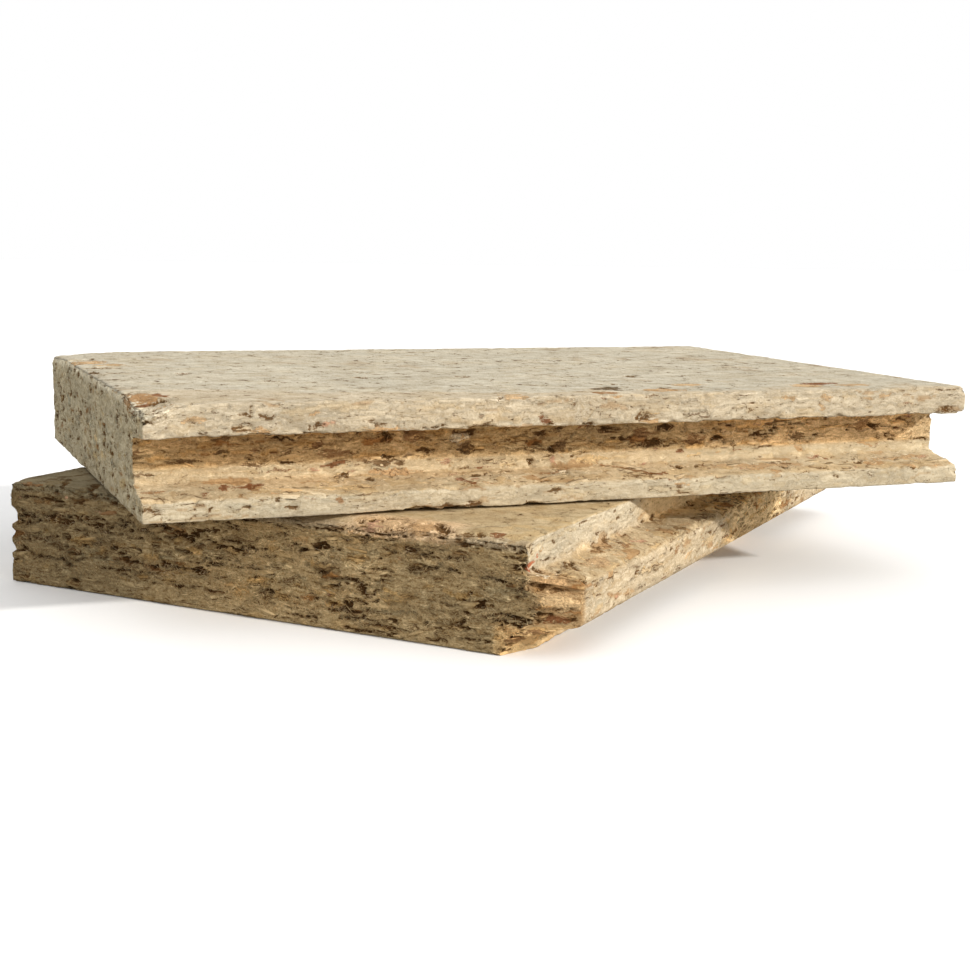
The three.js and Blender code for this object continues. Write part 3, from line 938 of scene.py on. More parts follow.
class Graph:
    """Short forms for building the nodes of a material or a world."""

    def __init__(self, owner, shader="Principled BSDF"):
        owner.use_nodes = True
        self.owner, self.tree = owner, owner.node_tree
        self.shader = self.tree.nodes[shader]

    def node(self, kind, inputs, **settings):
        made = self.tree.nodes.new("ShaderNode" + kind)
        for key, value in settings.items():
            setattr(made, key, value)
        for key, value in inputs.items():
            self.feed(made.inputs[key], value)
        return made

    def value(self, kind, inputs, output, **settings):
        return Value(self, self.node(kind, inputs, **settings).outputs[output])

    def feed(self, socket, value):
        if isinstance(value, Value):
            value = value.socket
        if isinstance(value, bpy.types.NodeSocket):
            self.tree.links.new(value, socket)
        else:
            socket.default_value = value

    def surface(self, **values):
        """Feeds the shader's own sockets: Base_Color and so on."""
        for key, value in values.items():
            self.feed(self.shader.inputs[key.replace("_", " ")], value)

    def math(self, operation, a, b=0.0, clamp=False):
        return self.value("Math", {0: a, 1: b}, 0, operation=operation, use_clamp=clamp)

    def rest(self, value):
        """What is left of 1, not under 0."""
        return self.math("SUBTRACT", 1, value, clamp=True)

    def ease(self, value, start, end, low=0.0, high=1.0):
        inputs = {"Value": value, "From Min": start, "From Max": end, "To Min": low, "To Max": high}
        return self.value("MapRange", inputs, "Result", interpolation_type="SMOOTHSTEP")

    def noise(self, vector, scale, detail, roughness=0.5):
        inputs = {"Vector": vector, "Scale": scale, "Detail": detail, "Roughness": roughness}
        return self.value("TexNoise", inputs, "Fac")

    def border(self, vector):
        """The distance to the border of a Voronoi cell."""
        inputs = {"Vector": vector, "Scale": 1.0}
        return self.value("TexVoronoi", inputs, "Distance", feature="DISTANCE_TO_EDGE")

    def numbers(self, *names):
        """The mesh's number attributes of those names."""
        return [self.value("Attribute", {}, "Fac", attribute_name=name) for name in names]

    def seen(self):
        """1 on rays from the camera and on what reflections and glass send on, otherwise 0."""
        paths = self.node("LightPath", {}).outputs
        camera, glossy, through = (Value(self, paths[f"Is {ray} Ray"]) for ray in SEEING_RAYS)
        return self.math("ADD", camera + glossy, through, clamp=True)

    def vector(self, name):
        return self.node("Attribute", {}, attribute_name=name).outputs["Vector"]

    def scaled(self, vector, scale):
        return self.node("VectorMath", {0: vector, 1: scale}, operation="MULTIPLY").outputs[0]

    def place(self):
        """The object's own coordinates, in mm."""
        return self.scaled(self.node("TexCoord", {}).outputs["Object"], (1 / MM,) * 3)

    def blend(self, factor, a, b, mode="MIX"):
        made = self.node("Mix", {}, data_type="RGBA", blend_type=mode)
        for socket, value in ((made.inputs[0], factor), (made.inputs[6], a), (made.inputs[7], b)):
            self.feed(socket, (*value, 1) if isinstance(value, tuple) else value)
        return made.outputs[2]

    def multiplied(self, colour, factors):
        """A colour times a constant colour."""
        return self.blend(1.0, colour, factors, "MULTIPLY")

    def relief(self, strength, depth, height):
        """Bump up to so many mm deep."""
        inputs = {"Strength": strength, "Distance": depth * MM, "Height": height}
        self.surface(Normal=self.node("Bump", inputs).outputs[0])


def strandboard():
    """The board itself: strands of wood pressed together, with gaps, cracks, grit and marks."""
    g = Graph(bpy.data.materials.new("strandboard"))
    ground, stain, crumb = (g.vector(name) for name in ("ground", "stain", "crumb"))
    lid, rough, core, void, seam, mark = g.numbers("lid", "rough", "core", "void", "seam", "mark")
    layer, opened, busy = g.numbers("layer", "open", "busy")
    grit_height = g.noise(g.place(), 2.3, 2, 0.85)
    grain_height = g.noise(g.vector("grain"), 1, 2, 0.65)
    grit, grain = grit_height - 0.5, grain_height - 0.5
    dots = g.noise(crumb, 1.3, 5, 0.8) - 0.5
    shoved = g.node("VectorMath", {0: crumb, 1: grit * 0.5}, operation="ADD").outputs[0]

    # thin level cracks between the strands, open only here and there
    waver = g.math("FRACT", layer + grit * 0.3 + dots * 0.6)
    openness = opened * (0.12 + core * 0.06 + rough * 0.06)
    slit = g.ease(g.rest(g.math("ABSOLUTE", waver - 0.5) / (openness + 0.001)), 0.05, 0.5)
    # painted shadows under the strands' lower edges
    line = g.ease(seam + grit * 0.9, 0.55, 0.72)
    # cracks round crumbs of wood, wider where a strand lies loose
    width = -0.10 + busy * 0.06 + opened * 0.10 + dots * 0.75 + lid * -0.03
    crack = g.ease(width - g.border(shoved), -0.008, 0.03)
    # pits and crumbs, ragged
    limit = 0.20 + busy * -0.045 + core * -0.01 + rough * -0.02 + lid * -0.05
    speck = g.ease(dots - limit, -0.006, 0.010)
    ragged = void + (grit * 2.0 + dots * 4.2) * g.ease(void, 0, 0.25)
    rim, hollow = g.ease(ragged, 0.15, 0.45), g.ease(ragged, 0.42, 0.55)

    # the grain, livelier on rough wood, with pale flecks there and brown halos round the pits
    swing = grain * (0.75 + core * 0.3 + rough * 0.3 + lid * -0.35)
    swing = swing + grit * (0.6 + rough + lid * 0.1) + dots * (-0.9 + rough * -0.9)
    shade = g.ease(0.5 + swing * busy, 0, 1)
    colour = g.blend(shade, g.multiplied(ground, DARK_GRAIN), g.multiplied(ground, PALE_GRAIN))
    colour = g.blend(g.ease(dots, -0.06, -0.14) * rough, colour, g.multiplied(ground, PALE_FLECK))
    colour = g.blend(g.ease(dots, 0.08, 0.155) * 0.35, colour, g.multiplied(ground, HALO))
    # stains, each with a dark outline
    uneven = grit * 2.2 + dots * 4.5 + grain * 1.4
    stained = g.ease(mark + uneven * g.ease(mark, 0, 0.3), 0.35, 0.6)
    tinted = g.blend(shade, g.multiplied(stain, DARK_STAIN), g.multiplied(stain, PALE_STAIN))
    colour = g.blend(stained * 0.9, colour, tinted)
    colour = g.blend(stained * g.rest(stained) * 2.6, colour, GAP_BROWN)
    # gaps, brown at the rim and dark within, darker the deeper they go; this dark, and that of the slits,
    # cracks and pits, is partly the wood's own and dirt, partly painted shade
    colour = g.blend(rim * 0.35, colour, g.multiplied(ground, GAP_RIM))
    deepness = 0.55 + grit * 0.9 + void * 0.4 + rough * 0.25
    hole = g.blend(g.ease(grit, -0.15, 0.1), GAP_DARK, GAP_BROWN)
    for mask, strength, brown in (
        (slit, 0.7, GAP_BROWN),
        (line, 0.6, GAP_BROWN),
        (crack, 0.7, GAP_BROWN),
        (speck, 0.85, hole),
        (hollow, deepness, hole),
    ):
        colour = g.blend(mask * strength, colour, brown)
    sheen = g.rest(stained + crack + speck + hollow) * SHEEN
    roughness = g.ease(grain, -0.2, 0.2, 0.85, 0.97)
    g.surface(Base_Color=colour, Roughness=roughness, Specular_IOR_Level=sheen)
    raised = grain_height * 0.6 + grit_height * (0.9 + rough * 0.7)
    sunk = slit * 0.8 + line * 0.8 + crack * 0.9 + speck * 1.1
    g.relief(0.8, 0.35, (raised - sunk) * busy)
    return g.owner


def strand_wood():
    """A loose chip or fibre: its grain runs along it, and its tone is its own."""
    g = Graph(bpy.data.materials.new("strand_wood"))
    ground = g.vector("ground")
    tone, hue, rimness = g.numbers("tone", "hue", "rimness")
    grain = g.noise(g.scaled(g.vector("grain"), (0.3, 3.2, 0.01)), 1, 3, 0.65) - 0.5
    grit = g.noise(g.place(), 2.1, 3, 0.75) - 0.5
    # the chips' rims a little darker: painted shade on their sides and edges
    shade = g.ease(0.52 + tone * 0.12 + grain * 0.9 + grit * 0.7 + rimness * rimness * -0.06, 0, 1)
    colour = g.blend(shade, g.multiplied(ground, DARK_CHIP), g.multiplied(ground, PALE_CHIP))
    colour = g.blend(g.ease(hue, 0.72, 0.8) * 0.5, colour, g.multiplied(ground, GOLD_CHIP))
    colour = g.blend(g.ease(hue, 0.93, 0.94) * 0.5, colour, STAINS["bark"])
    roughness = g.ease(grain, -0.2, 0.2, 0.8, 0.95)
    g.surface(Base_Color=colour, Roughness=roughness, Specular_IOR_Level=0.1)
    g.relief(0.7, 0.25, grain * 0.8 + grit * 0.5)
    return g.owner


# ---- Wear, and colours by place ---------------------------------------------------
def worn_groove_board(points):
    """Its front left corner knocked low, its back left corner rubbed off, its lower lip's arris nibbled."""
    x, y, z = points.T
    along = points * (1, 0, 0)
    front_left = 1.1 * ramp(y, 19, 9) * ramp(x, 6.5, 2)
    back_left = 1.0 * np.clip(1 - x / 18, 0, 1) ** 1.6 * ramp(y, WIDTH - 22, WIDTH - 3)
    top = ramp(z, THICKNESS - 8, THICKNESS)
    nibbled = 0.4 * ramp(np.abs(x - 50), 14, 5) + 0.3 * noise(along, 9.0, 77, 3) - 0.25
    lip = ramp(y, 6, 2) * ramp(z, 3, 0) * nibbled
    burr = BURR * ramp(y, 2.4, 0.8) * ramp(z, UPPER_LIP_HEIGHT + 2.5, UPPER_LIP_HEIGHT + 0.6)
    burr *= ramp(z, UPPER_LIP_HEIGHT - 2, UPPER_LIP_HEIGHT - 0.6) * (0.85 + 0.3 * noise(along, 5.0, 78, 3))
    rise = np.clip(lip, 0, 1) - burr - top * (front_left + back_left)
    return points + np.stack([0 * x, 0 * x, rise], 1)


def frayed_groove_board(x, y, z):
    """Where its top surface is broken off: the front left corner and a patch by the back left one."""
    corner = ramp(y, 16, 11) * ramp(x, 7.5, 4.5)
    patch = ramp(np.abs(y - 92), 8, 4) * ramp(x, 9, 5)
    return np.maximum(corner, 0.7 * patch) * ramp(z, THICKNESS - 3.5, THICKNESS - 2)


def frayed_tongue_board(x, y, z):
    """The torn stretch of its near end's top arris."""
    stretch = 0.7 * ramp(np.abs(y - 27), 13, 8) * ramp(x, 8, 5) + 0.5 * ramp(x, 2.5, 1)
    return np.clip(stretch, 0, 1) * ramp(z, THICKNESS - 3.5, THICKNESS - 2)


def worn_tongue_board(points):
    """Its far left edge is split in three places, and its near end's top arris is rubbed round."""
    x, y, z = points.T
    far_left = ramp(y, WIDTH - 7, WIDTH) * ramp(x, 3, 0)
    splits = sum(
        depth * ramp(np.abs(z / THICKNESS - level), half + 0.03, half)
        for level, half, depth in ((0.65, 0.055, 1.5), (0.49, 0.012, 1.0), (0.33, 0.014, 1.2))
    )
    rubbed = ramp(x, 5, 0) * (0.5 + 0.5 * noise(points * (0, 1, 0), 12.0, 31, 2))
    rubbed = rubbed * (1.3 - 0.9 * ramp(y, 85, 110))
    top = ramp(z, THICKNESS - 5, THICKNESS)
    knocked = 0.25 * ramp(y, WIDTH - 6, WIDTH) * ramp(x, 6, 0) * top
    return points + np.stack([0 * x, -far_left * splits, -top * np.clip(rubbed, 0, 2) - knocked], 1)


def grooved_coats(board):
    """(weight, colour) of the groove board, one over another."""
    x, y, z = board.points.T
    inner = board.milled * ramp(z, *CORE_TOP) * ramp(y, 1.3, 2.4)
    # the part of the groove's back in the upper lip's shadow, where its painted shade goes
    deep = inner * ramp(y, 8.8, 10.4) * ramp(z, 8.2, 9.4) * (1 - 0.65 * ramp(x, 172, 179))
    reach = np.interp(x, (0, 17, 35, 57, 80, 100, 115, 150, 183), (22, 25, 19, 12, 8, 8, 5, 3, 2))
    lower = inner * ramp(y + 1.5 * noise(board.points, (20, 4, 4), 71, 2), 6.5, 4.0) * ramp(z, 9, 7)
    streaks = 0.6 * ramp(noise(board.points, (45, 3.5, 2.0), 67, 2), 0.15, 0.6) * ramp(x, 150, 60)
    pressed = board.lid * ramp(y + 3.5 * noise(board.points, 6, 61, 3) - reach, -2.5, 2.5)
    return (
        (board.milled * ramp(z, 7, 5), LOWER_LIP_WOOD),
        (inner, FLANK),
        (inner * ramp(x, 100, 150), FLANK_PALE),
        (lower, FLANK_TAN),
        (inner * streaks, TAN_STREAK),
        # painted shade: a warm brown on the groove's back under the upper lip's shadow, partly its browner
        # core wood; brighter to the right as painted bounce light
        (deep, GROOVE_BACK_PAINTED_SHADE),
        (deep * ramp(x, 45, 80), GROOVE_BACK_FAR_PAINTED_SHADE),
        (deep * ramp(x, 105, 140), GROOVE_BACK_END_PAINTED_BOUNCE),
        (board.hidden * board.core, FLANK),
        (board.near_end, SAWN),
        # painted highlight, and paler rubbed wood, on the near end's top arris
        (0.8 * ramp(x, 2.6, 0.8) * ramp(z, THICKNESS - 2.2, THICKNESS - 0.8), RUBBED_ARRIS_PAINTED_HIGHLIGHT),
        (pressed, LID),
    )


def groove_bustle(board):
    """How lively its milled wood is: calm lips and flank, calmer to the right, and a crumbly back."""
    x, y, z = board.points.T
    lips = 0.86 - 0.18 * ramp(z, 8, 4) * ramp(x, 50, 80)
    inside = 0.62 - 0.2 * ramp(x, 60, 130)
    inside += (1.0 + 0.1 * ramp(x, 35, 75) - inside) * ramp(y, 8.8, 10.4) * ramp(z, 8.0, 9.4)
    return lips + (inside - lips) * board.core


def tongue_bustle(board):
    """A calm tongue, but for its torn end, and livelier where the upper panel's shade falls."""
    x = board.points[:, 0]
    shoulder = 0.8
    tongue = 0.63 + 0.23 * ramp(x, 12, 6) + 0.5 * ramp(x, 75, 100) * ramp(x, 160, 140)
    return shoulder + (tongue - shoulder) * board.core


def tongued_coats(board):
    """(weight, colour) of the tongue board: browner on top, and darker towards its far left corner, where its
    top face also carries the upper panel's shadow, painted in. Where that shadow falls on the tongue, the
    wood is painted brighter and warmer as bounce light.
    """
    x, y, z = board.points.T
    lid, milled, near_end = board.lid, board.milled, board.near_end
    tongue_top = milled * board.core * ramp(z, 13.0, 14.5) * ramp(y, 0.5, -0.5)
    torn = milled * ramp(x, 7, 4.5) * ramp(z, 16.5, 15) * ramp(z, 5, 6.5)
    chipped = ramp(x, 26, 12) * ramp(y, 8, 5) * ramp(z, 6.8, 5.0)
    near_arris = ramp(x, 2.6, 0.8) * ramp(z, THICKNESS - 2.5, THICKNESS - 1)
    torn_arris = ramp(np.abs(y - 27), 15, 8) * ramp(x, 11, 6) * ramp(z, THICKNESS - 3, THICKNESS - 1.5)
    return (
        (milled * board.core, TONGUE_WOOD),
        (milled * ramp(z, THICKNESS - 6, THICKNESS - 4.5), SHOULDER),
        (0.9 * tongue_top, TONGUE_TOP),
        # painted bounce light: brighter, warmer wood where the upper panel's shadow lies on the tongue
        (0.9 * milled * ramp(x - 32 * ramp(z, 17, 14), 52, 66) * ramp(x, 144, 130), TONGUE_PAINTED_BOUNCE_IN_SHADOW),
        (torn, TORN_WOOD),
        (board.hidden * board.core, FLANK),
        (near_end, RAW),
        (0.42 * near_end * ramp(y, 45, 15), RAW_FAR),
        (lid, BROWN_LID),
        (near_end * ramp(y, 62, 100), RAW_FAR),
        # painted shadow: the upper panel's shade on the lower panel's top face, over its rougher brown wood
        (lid * ramp(y, 60, 100) * ramp(x, 110, 50), LID_FAR_ROUGH_AND_PAINTED_SHADE),
        (near_arris * ramp(y, 80, 55), WORN_ARRIS),
        # the near end's top arris there, also in that painted shadow
        (near_arris * ramp(y, 55, 80), LID_FAR_ROUGH_AND_PAINTED_SHADE),
        (torn_arris, TORN_ARRIS),
        (0.9 * chipped, CHIPPED),
    )


# ---- The single marks worth placing, in mm and in the board's own frame ---------------
BACK, NOSE = GROOVE_DEPTH, -TONGUE  # y of the groove's back and of the tongue's front


def upright(y, breadth, *rows):
    """Marks on an upright face at y, from (kind, x, z, length, height)."""
    return [(kind, x, y, z, length, breadth, height) for kind, x, z, length, height in rows]


# (kind, x, y, z, length, breadth, height, and any turn in degrees)
GROOVED_MARKS = (
    # on the front arris
    ("knot", 99.5, 10.5, 22, 7.5, 7.5, 1.5), ("brown", 94.5, 4, 22, 6, 6, 1.5),
    ("honey", 109, 6.5, 22, 10, 6, 1.5), ("tan", 73.5, 2.4, 21.8, 7, 7, 1.6),
    ("gap", 70.2, 0.8, 21.8, 1.4, 1.6, 1.4),
    # the front left corner
    ("lens", 2.6, 15.5, 21.2, 7.6, 11, 3.6), ("bark", 2.6, 9.6, 21, 6.5, 3.4, 2.6),
    ("bark", 6.4, 16.5, 21.8, 2.2, 7, 2.4), ("gap", 4.2, 10, 21.2, 3, 2.6, 1.6),
    ("gap", 2.4, 7, 20.8, 4.5, 2.4, 1.6), ("gap", 3.6, 4.6, 20.6, 5, 1.6, 1.4),
    ("gap", 1.4, 3.6, 20.4, 3.4, 2, 1.2), ("gap", 5, 2.4, 20.8, 3, 2, 1.2),
    # the back left corner
    ("honey", 4.5, 90, 22, 9, 9, 1.6, 10), ("tan", 8, 82, 22, 7, 5, 1.6, 10),
    ("gap", 5, 76, 22, 9, 5, 1.2), ("gap", 1.5, 66, 22, 1.6, 9, 1.2),
    # brown streaks on the right
    ("tan", 147, 8.5, 22, 8, 7, 1.5), ("bark", 153, 12.5, 22, 10, 5, 1.5),
    ("tan", 159, 8, 22, 9, 5, 1.5),
    # pits in the pressed face
    ("gap", 59.6, 55.5, 22, 3, 4.6, 1.2), ("gap", 56, 44, 22, 3.6, 4.4, 1.2),
    ("gap", 79, 42, 22, 3, 3.6, 1.2), ("gap", 118, 36, 22, 3, 3.6, 1.2),
    ("gap", 106, 20, 22, 2.8, 3, 1.2), ("gap", 20, 60, 22, 3, 4, 1.2),
    ("gap", 34, 40, 22, 3.4, 3.6, 1.2), ("gap", 132, 24, 22, 3.2, 3.4, 1.2),
    ("tan", 121, 15, 22, 9, 5, 1.2),
    # the upper lip's lower arris
    ("gap", 58, 0, 16.9, 1.8, 2, 1.1), ("gap", 65.5, 0.3, 16.3, 4.5, 3, 1.8),
    *upright(0, 2,
        ("bark", 78.8, 17.9, 2.4, 0.9), ("bark", 79.9, 17.1, 2.8, 0.9), ("gap", 80.9, 16.6, 1.6, 0.8),
        ("gap", 78.6, 18.5, 2.2, 0.5), ("gap", 88.8, 16.4, 4.6, 0.9),
    ),
    ("gap", 102, 0, 17.4, 5, 3, 2.2), ("honey", 103, 0, 16.6, 4, 3, 1),
    *upright(0, 2,
        ("honey", 47, 16.8, 9, 0.9), ("gap", 45, 17.7, 5, 0.6), ("gap", 129.8, 15.9, 7, 0.9),
    ),
    ("gap", 178.4, 0, 17, 6, 3, 1.4),
    *upright(0, 2,
        ("honey", 20.5, 16.9, 7, 0.9), ("gap", 19, 17.6, 5.5, 0.8), ("gap", 32, 17.6, 2.4, 1.2),
        ("gap", 19, 19.8, 3.5, 0.7),
    ),
    # stains on the upper lip's right half
    *upright(0, 2,
        ("tan", 144, 18.3, 3.6, 1.2), ("umber", 146.5, 20, 1.8, 0.8), ("tan", 146.3, 20.1, 3, 1.5),
        ("tan", 157, 20.1, 3, 0.8), ("tan", 161, 20.3, 4, 1.4), ("tan", 137, 20.3, 4, 1.4),
    ),
    # the groove's back
    *upright(BACK, 3,
        ("gap", 50.3, 13.1, 3.4, 2.7), ("gap", 66.8, 13.6, 5.5, 1.4), ("umber", 67.3, 10.7, 5, 2.1),
        ("umber", 88.7, 10.2, 3.6, 2.4), ("gap", 99.3, 13.2, 3.6, 1.9), ("gap", 126, 10.7, 3.6, 2),
        ("umber", 146.6, 10.5, 5.5, 1.6), ("umber", 16.8, 14, 4.6, 0.8),
        ("umber", 16.7, 11.3, 3.6, 1.1), ("brown", 23.3, 11.4, 2.6, 1.2),
        ("umber", 10.6, 9.8, 4.2, 1.3), ("brown", 1.4, 12, 2.6, 1.4), ("umber", 23, 8.5, 4.4, 1.6),
        ("gap", 30.2, 9.1, 5.5, 0.8),
    ),
    # the groove's foot and lower wall
    ("umber", 49, BACK, 8.1, 11, 2, 1.3), ("bark", 16.7, 6.9, 5.4, 3.4, 2.4, 1.6),
    ("brown", 3, 6.2, 5.2, 5, 2, 1.2), ("gold", 38, 4.3, 4.8, 22, 2.4, 1.4),
    ("gap", 114, 8, 5.6, 7, 1.3, 1.2, -60), ("bark", 107.4, 4.5, 4.8, 7, 2.6, 1),
    ("honey", 163.3, 4.5, 4.8, 6.5, 3, 1), ("pink", 62.9, BACK, 7.7, 2.6, 3, 1.5),
    ("pink", 87, BACK, 7.3, 1.8, 3, 1.7), ("bark", 65.6, 4.7, 4.9, 6, 1.5, 3, -55),
    ("brown", 101, 8.2, 5.7, 16, 0.9, 5, -35), ("brown", 84, 7, 5.5, 12, 0.8, 4, 18),
    ("tan", 133, 6, 5.2, 26, 2.4, 3, -4), ("tan", 172, 7, 5.4, 16, 2.4, 3, 5),
    ("gap", 67.5, 10.3, 6.6, 1.6, 2, 1.2), ("gap", 81.7, 10.4, 7.2, 3.6, 1.6, 1),
    ("gold", 96.1, 10.4, 7.2, 9, 4, 1.6, -12), ("honey", 52, 9.8, 6.6, 11, 2.6, 1.4),
    # pale flakes and dark bits in the shade
    *upright(BACK, 3,
        ("cream", 65.9, 12.9, 4.6, 2), ("brown", 55.8, 13.2, 6, 2.4), ("gap", 58.1, 10.2, 4, 1.4),
        ("gap", 83.5, 12.8, 3, 1.4), ("gap", 87.1, 9.3, 2.6, 2), ("brown", 108, 12.2, 7, 2.6),
        ("gap", 110, 10, 7, 2), ("gap", 113, 13.4, 5, 1.2), ("brown", 120, 10.6, 6, 2.4),
        ("gap", 137, 11.2, 6, 1.6), ("brown", 163, 12.6, 7, 2.2), ("gap", 167, 12, 4, 1.6),
        ("brown", 36, 12.4, 3.6, 1.2), ("brown", 40, 10.6, 7, 2),
    ),
    # the lower lip's bottom arris
    *upright(1.2, 3,
        ("gap", 65, 0.9, 3.6, 1.7), ("gap", 61.5, 0.2, 11, 1.1), ("gap", 53.7, 0.1, 7, 0.9),
        ("gap", 78, 0.1, 5, 0.9), ("umber", 111.5, 1.6, 0.9, 2.2),
    ),
    # the lower lip
    *upright(1.2, 2,
        ("gap", 150.6, 2.8, 2, 1.5), ("gap", 0.9, 3.4, 2, 2.6), ("gap", 24.8, 3.1, 3, 1),
        ("gap", 2.2, 2.4, 2.2, 1.5), ("gap", 3.4, 0.9, 1.6, 0.9), ("gap", 13.2, 2.3, 1.3, 1.4),
        ("gap", 19.4, 2.3, 2.2, 1), ("gap", 28.2, 1.7, 2.6, 0.9), ("brown", 37.4, 3, 2, 1.7),
    ),
    *upright(0, 2,
        ("gap", 19.6, 21, 1.4, 1.2), ("gap", 23.3, 19.6, 2.6, 0.8), ("tan", 10, 19, 5, 0.9),
    ),
)
TONGUED_MARKS = (
    # torn top arris of the near end
    ("honey", 2, 23, 21.6, 7, 7, 2.6, 30), ("tan", 4, 30, 21.8, 8, 5, 2.6, -30),
    ("bark", 1, 27.4, 21, 3, 3.4, 1.4), ("pink", 2, 33, 21.4, 6, 4, 2, 20),
    ("gap", 5, 20, 21.8, 6, 1.6, 1.6, 40), ("gap", 3.5, 35, 21.6, 5, 1.6, 1.6, -40),
    # a brown bit by the near corner
    ("bark", 3, 7.5, 22, 3, 3, 1.4), ("gap", 0, 24.1, 17.7, 2, 3, 1.8),
    ("knot", 0, 98.6, 10.8, 2, 4.2, 1.1), ("gap", 0, 110.5, 14.9, 2, 8, 1),
    ("gap", 0, 60, 13.5, 2, 4, 2), ("gap", 0, 44, 16.2, 2, 3.4, 2.2),
    ("gap", 0, 8.5, 9, 2, 3.2, 2.4),
    # slits in the pressed face by the far left corner, in its painted shade
    ("knot", 2.4, 100.6, 21.6, 11, 2, 3, 32), ("knot", 3.3, 109.1, 21.6, 11, 2, 2.6, 31),
    ("gap", 2.4, 100.6, 21.8, 8, 1.4, 2.4, 32), ("gap", 3.3, 109.1, 21.6, 8, 1.4, 2, 31),
    ("dusk", 10, 114.4, 22, 18, 2.4, 1.6, -6), ("dusk", 15, 108, 22, 14, 2, 1.6, 10),
    ("brown", 0.5, 116, 21.8, 2, 6, 1.2), ("gap", 0, 103.3, 19.1, 2, 2, 1.2),
    ("gap", 0, 102.6, 15.1, 2, 2.6, 1.4), ("gap", 0, 106.3, 14.6, 2, 4, 0.9),
    # a red splinter by the near shoulder
    *upright(0, 2,
        ("red", 0.9, 16.9, 1.9, 1.5), ("red", 2.2, 17.7, 1.8, 1.3), ("red", 3.5, 18.4, 1.6, 0.9),
    ),
    ("gap", 0, 1.6, 17.2, 2, 3.4, 1.1), ("gap", 3.4, -0.6, 15.9, 2.2, 2, 0.9),
    ("pink", 42.7, -4.7, 15.2, 4.5, 2.2, 1.4), ("brown", 37.6, -4.1, 15.3, 4, 1.6, 1.4),
    ("tan", 20, -4.7, 15.2, 9, 5, 2), ("gap", 11.3, -4.5, 15.4, 4, 1.2, 1.4, -60),
    ("gap", 7.1, -8, 14.6, 3, 1.6, 1.4, -60),
    *upright(NOSE, 2,
        ("honey", 18.5, 13.5, 2, 1.4), ("gap", 32.7, 11.3, 1.6, 1.6), ("brown", 56, 11.3, 4, 2),
        ("gap", 52, 12, 2.6, 1),
    ),
    # the tear: brown under a pale flake, a slit, a ledge and bark
    ("cream", 3.2, -2, 15.4, 6, 3, 0.8), ("honey", 2.2, -3.6, 14.6, 5, 9, 1.3),
    ("gap", 0.9, -2, 13.5, 3, 4.2, 1.3), ("gap", 2.3, -4.6, 13, 3.4, 4.6, 1.5),
    ("gap", 3.4, -6.8, 12.5, 3.2, 4.6, 1.8), ("splint", 1.9, -5, 11, 8, 11, 4.6),
    ("gap", 2.9, -6.4, 9.5, 2.2, 2.4, 0.7), ("gap", 1.6, -4, 9.4, 2.2, 2.4, 0.5),
    ("bark", 2.6, -4.9, 7.4, 5, 8, 1.4), ("gap", 1.3, -2.2, 7, 2.4, 2.6, 1),
    ("gap", 3.9, -7, 7.6, 1.8, 2.4, 1.2), ("gap", 0, 3, 7.6, 2, 7, 0.7),
    ("brown", 1.9, -1, 4.9, 5, 7, 1.3),
    # the knocked-off corner: a bright fringe and dark chips
    ("gold", 6, 2, 0.6, 20, 7, 2.2), ("brown", 1.6, 2.6, 3.2, 6, 4, 1.6),
    ("gap", 0.6, 3.5, 2, 2.4, 3, 0.9), ("gap", 0.4, 4.8, 0.6, 2.4, 4, 0.6),
)


grooved = Panel(
    node=GROOVED,
    corners=groove_corners(),
    seed=11,
    edge_step=0.45,  # mm between points, across the milled edge and on the near end
    end_step=0.55,
    lid_step=1.7,  # and in the middle of the top face, with how fast they spread towards it
    lid_widening=0.08,
    crowding=0.1,  # of the points towards the near end
    raw_end=0.0,  # 1 where the near end is roughly sawn, 0 where it is clean
    torn=whole,
    worn=worn_groove_board,
    frayed=frayed_groove_board,
    coats=grooved_coats,
    bustle=groove_bustle,
    marks=GROOVED_MARKS,
)
tongued = Panel(
    node=TONGUED,
    corners=tongue_corners(),
    seed=41,
    edge_step=0.42,
    end_step=0.38,
    lid_step=1.8,
    lid_widening=0.1,
    crowding=0.3,
    raw_end=1.0,
    torn=torn_tongue,
    worn=worn_tongue_board,
    frayed=frayed_tongue_board,
    coats=tongued_coats,
    bustle=tongue_bustle,
    marks=TONGUED_MARKS,
)
wood = strandboard(), strand_wood()
grooved.make(*wood)
tongued.make(*wood)

# ---- Camera, at the photograph's place --------------------------------------------
IMAGE_LONG_SIDE = 971
FOCAL_PIXELS = 1530.5
CAMERA_FROM_CORNER = (-49.0, -273.3)  # from the upper panel's front left corner
CAMERA_HEIGHT = 75.7
YAW, PITCH, ROLL = (math.radians(angle) for angle in (22.97, 9.34, 1.23))

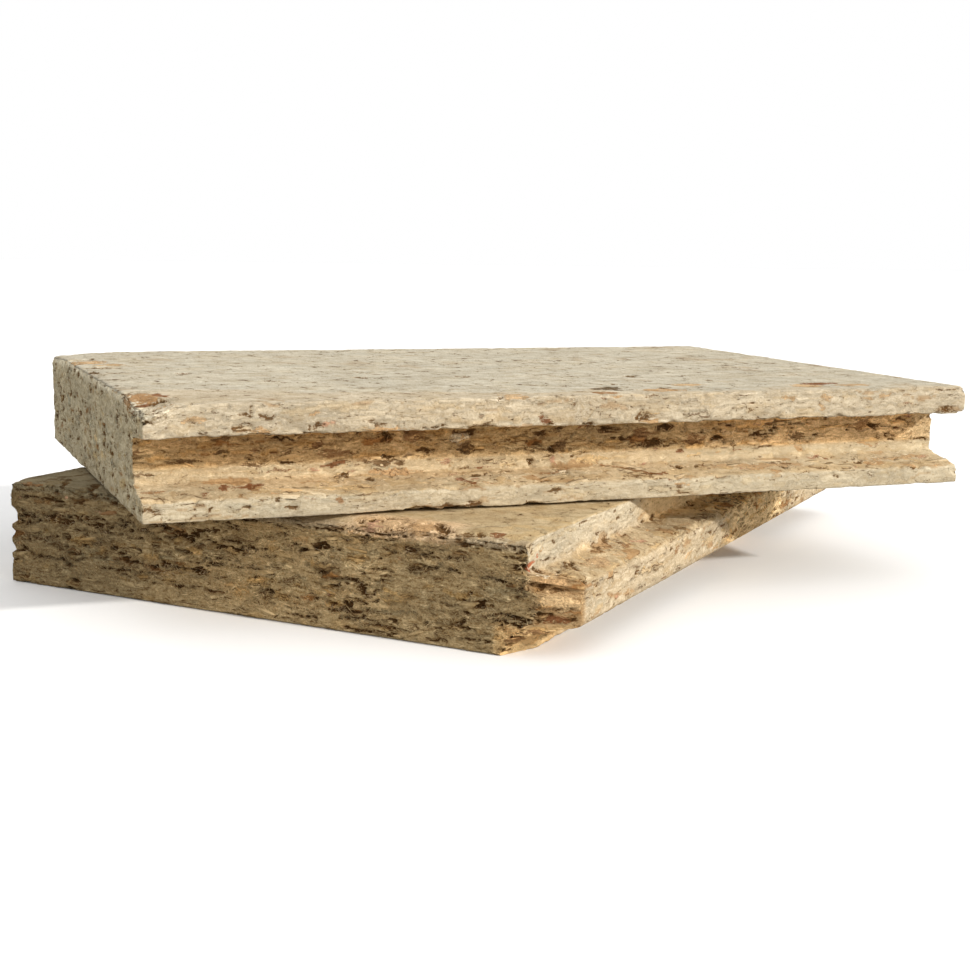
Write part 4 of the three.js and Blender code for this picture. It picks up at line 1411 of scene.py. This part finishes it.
camera_data = bpy.data.cameras.new("camera")
camera_data.sensor_width = 36
camera_data.lens = FOCAL_PIXELS * camera_data.sensor_width / IMAGE_LONG_SIDE
camera_data.clip_start = 0.01
camera = bpy.data.objects.new("camera", camera_data)
bpy.context.scene.collection.objects.link(camera)
aim = Matrix.Rotation(-YAW, 4, "Z") @ Matrix.Rotation(math.pi / 2 - PITCH, 4, "X")
eye = Vector((low[0] + CAMERA_FROM_CORNER[0], low[1] + CAMERA_FROM_CORNER[1], CAMERA_HEIGHT)) * MM
camera.matrix_world = Matrix.Translation(eye) @ (aim @ Matrix.Rotation(ROLL, 4, "Z"))
bpy.context.scene.camera = camera

# ---- Floor and light -----------------------------------------------------------------
FLOOR_SIZE = 3.0  # m, from the middle to each side
FLOOR_SEEN = (0.98, 0.98, 0.98)
FLOOR_BOUNCE = (0.38, 0.36, 0.325), (0.42, 0.40, 0.365)
SKY_STRENGTH = 0.90


def pale_floor():
    """White to the camera, and a quieter grey in the light it throws back on the wood."""
    g = Graph(bpy.data.materials.new("floor"))
    grain = g.noise(g.node("TexCoord", {}).outputs["Object"], 40, 3)
    bounce = g.blend(g.ease(grain, 0, 1), *FLOOR_BOUNCE)
    g.surface(Base_Color=g.blend(g.seen(), bounce, FLOOR_SEEN), Roughness=0.9, Specular_IOR_Level=0.1)
    mesh = bpy.data.meshes.new("floor")
    corners = [(x * FLOOR_SIZE, y * FLOOR_SIZE, 0) for x, y in ((-1, -1), (1, -1), (1, 1), (-1, 1))]
    mesh.from_pydata(corners, [], [(0, 1, 2, 3)])
    mesh.materials.append(g.owner)
    made = bpy.data.objects.new("floor", mesh)
    bpy.context.scene.collection.objects.link(made)


def sun(name, travel, strength, colour, spread):
    """Parallel light that travels one way, spread over so many degrees of the sky."""
    data = bpy.data.lights.new(name, "SUN")
    data.energy = strength
    data.color = colour
    data.angle = math.radians(spread)
    made = bpy.data.objects.new(name, data)
    made.rotation_euler = Vector(travel).to_track_quat("-Z", "Y").to_euler()
    bpy.context.scene.collection.objects.link(made)


def sky():
    """A soft white sky, at a strength of 1 where the camera or a reflection sees it."""
    world = bpy.data.worlds.new("studio")
    g = Graph(world, "Background")
    g.surface(Color=(1, 1, 1, 1), Strength=g.ease(g.seen(), 0, 1, SKY_STRENGTH, 1.0))
    bpy.context.scene.world = world


pale_floor()
sun("key", (-0.6547, 0.7559, -0.486), 2.65, (1.0, 0.97, 0.92), 3)
sun("fill", (-0.45, 0.88, -0.12), 0.85, (1.0, 0.86, 0.70), 70)
sky()
bpy.context.scene.view_settings.view_transform = "Standard"
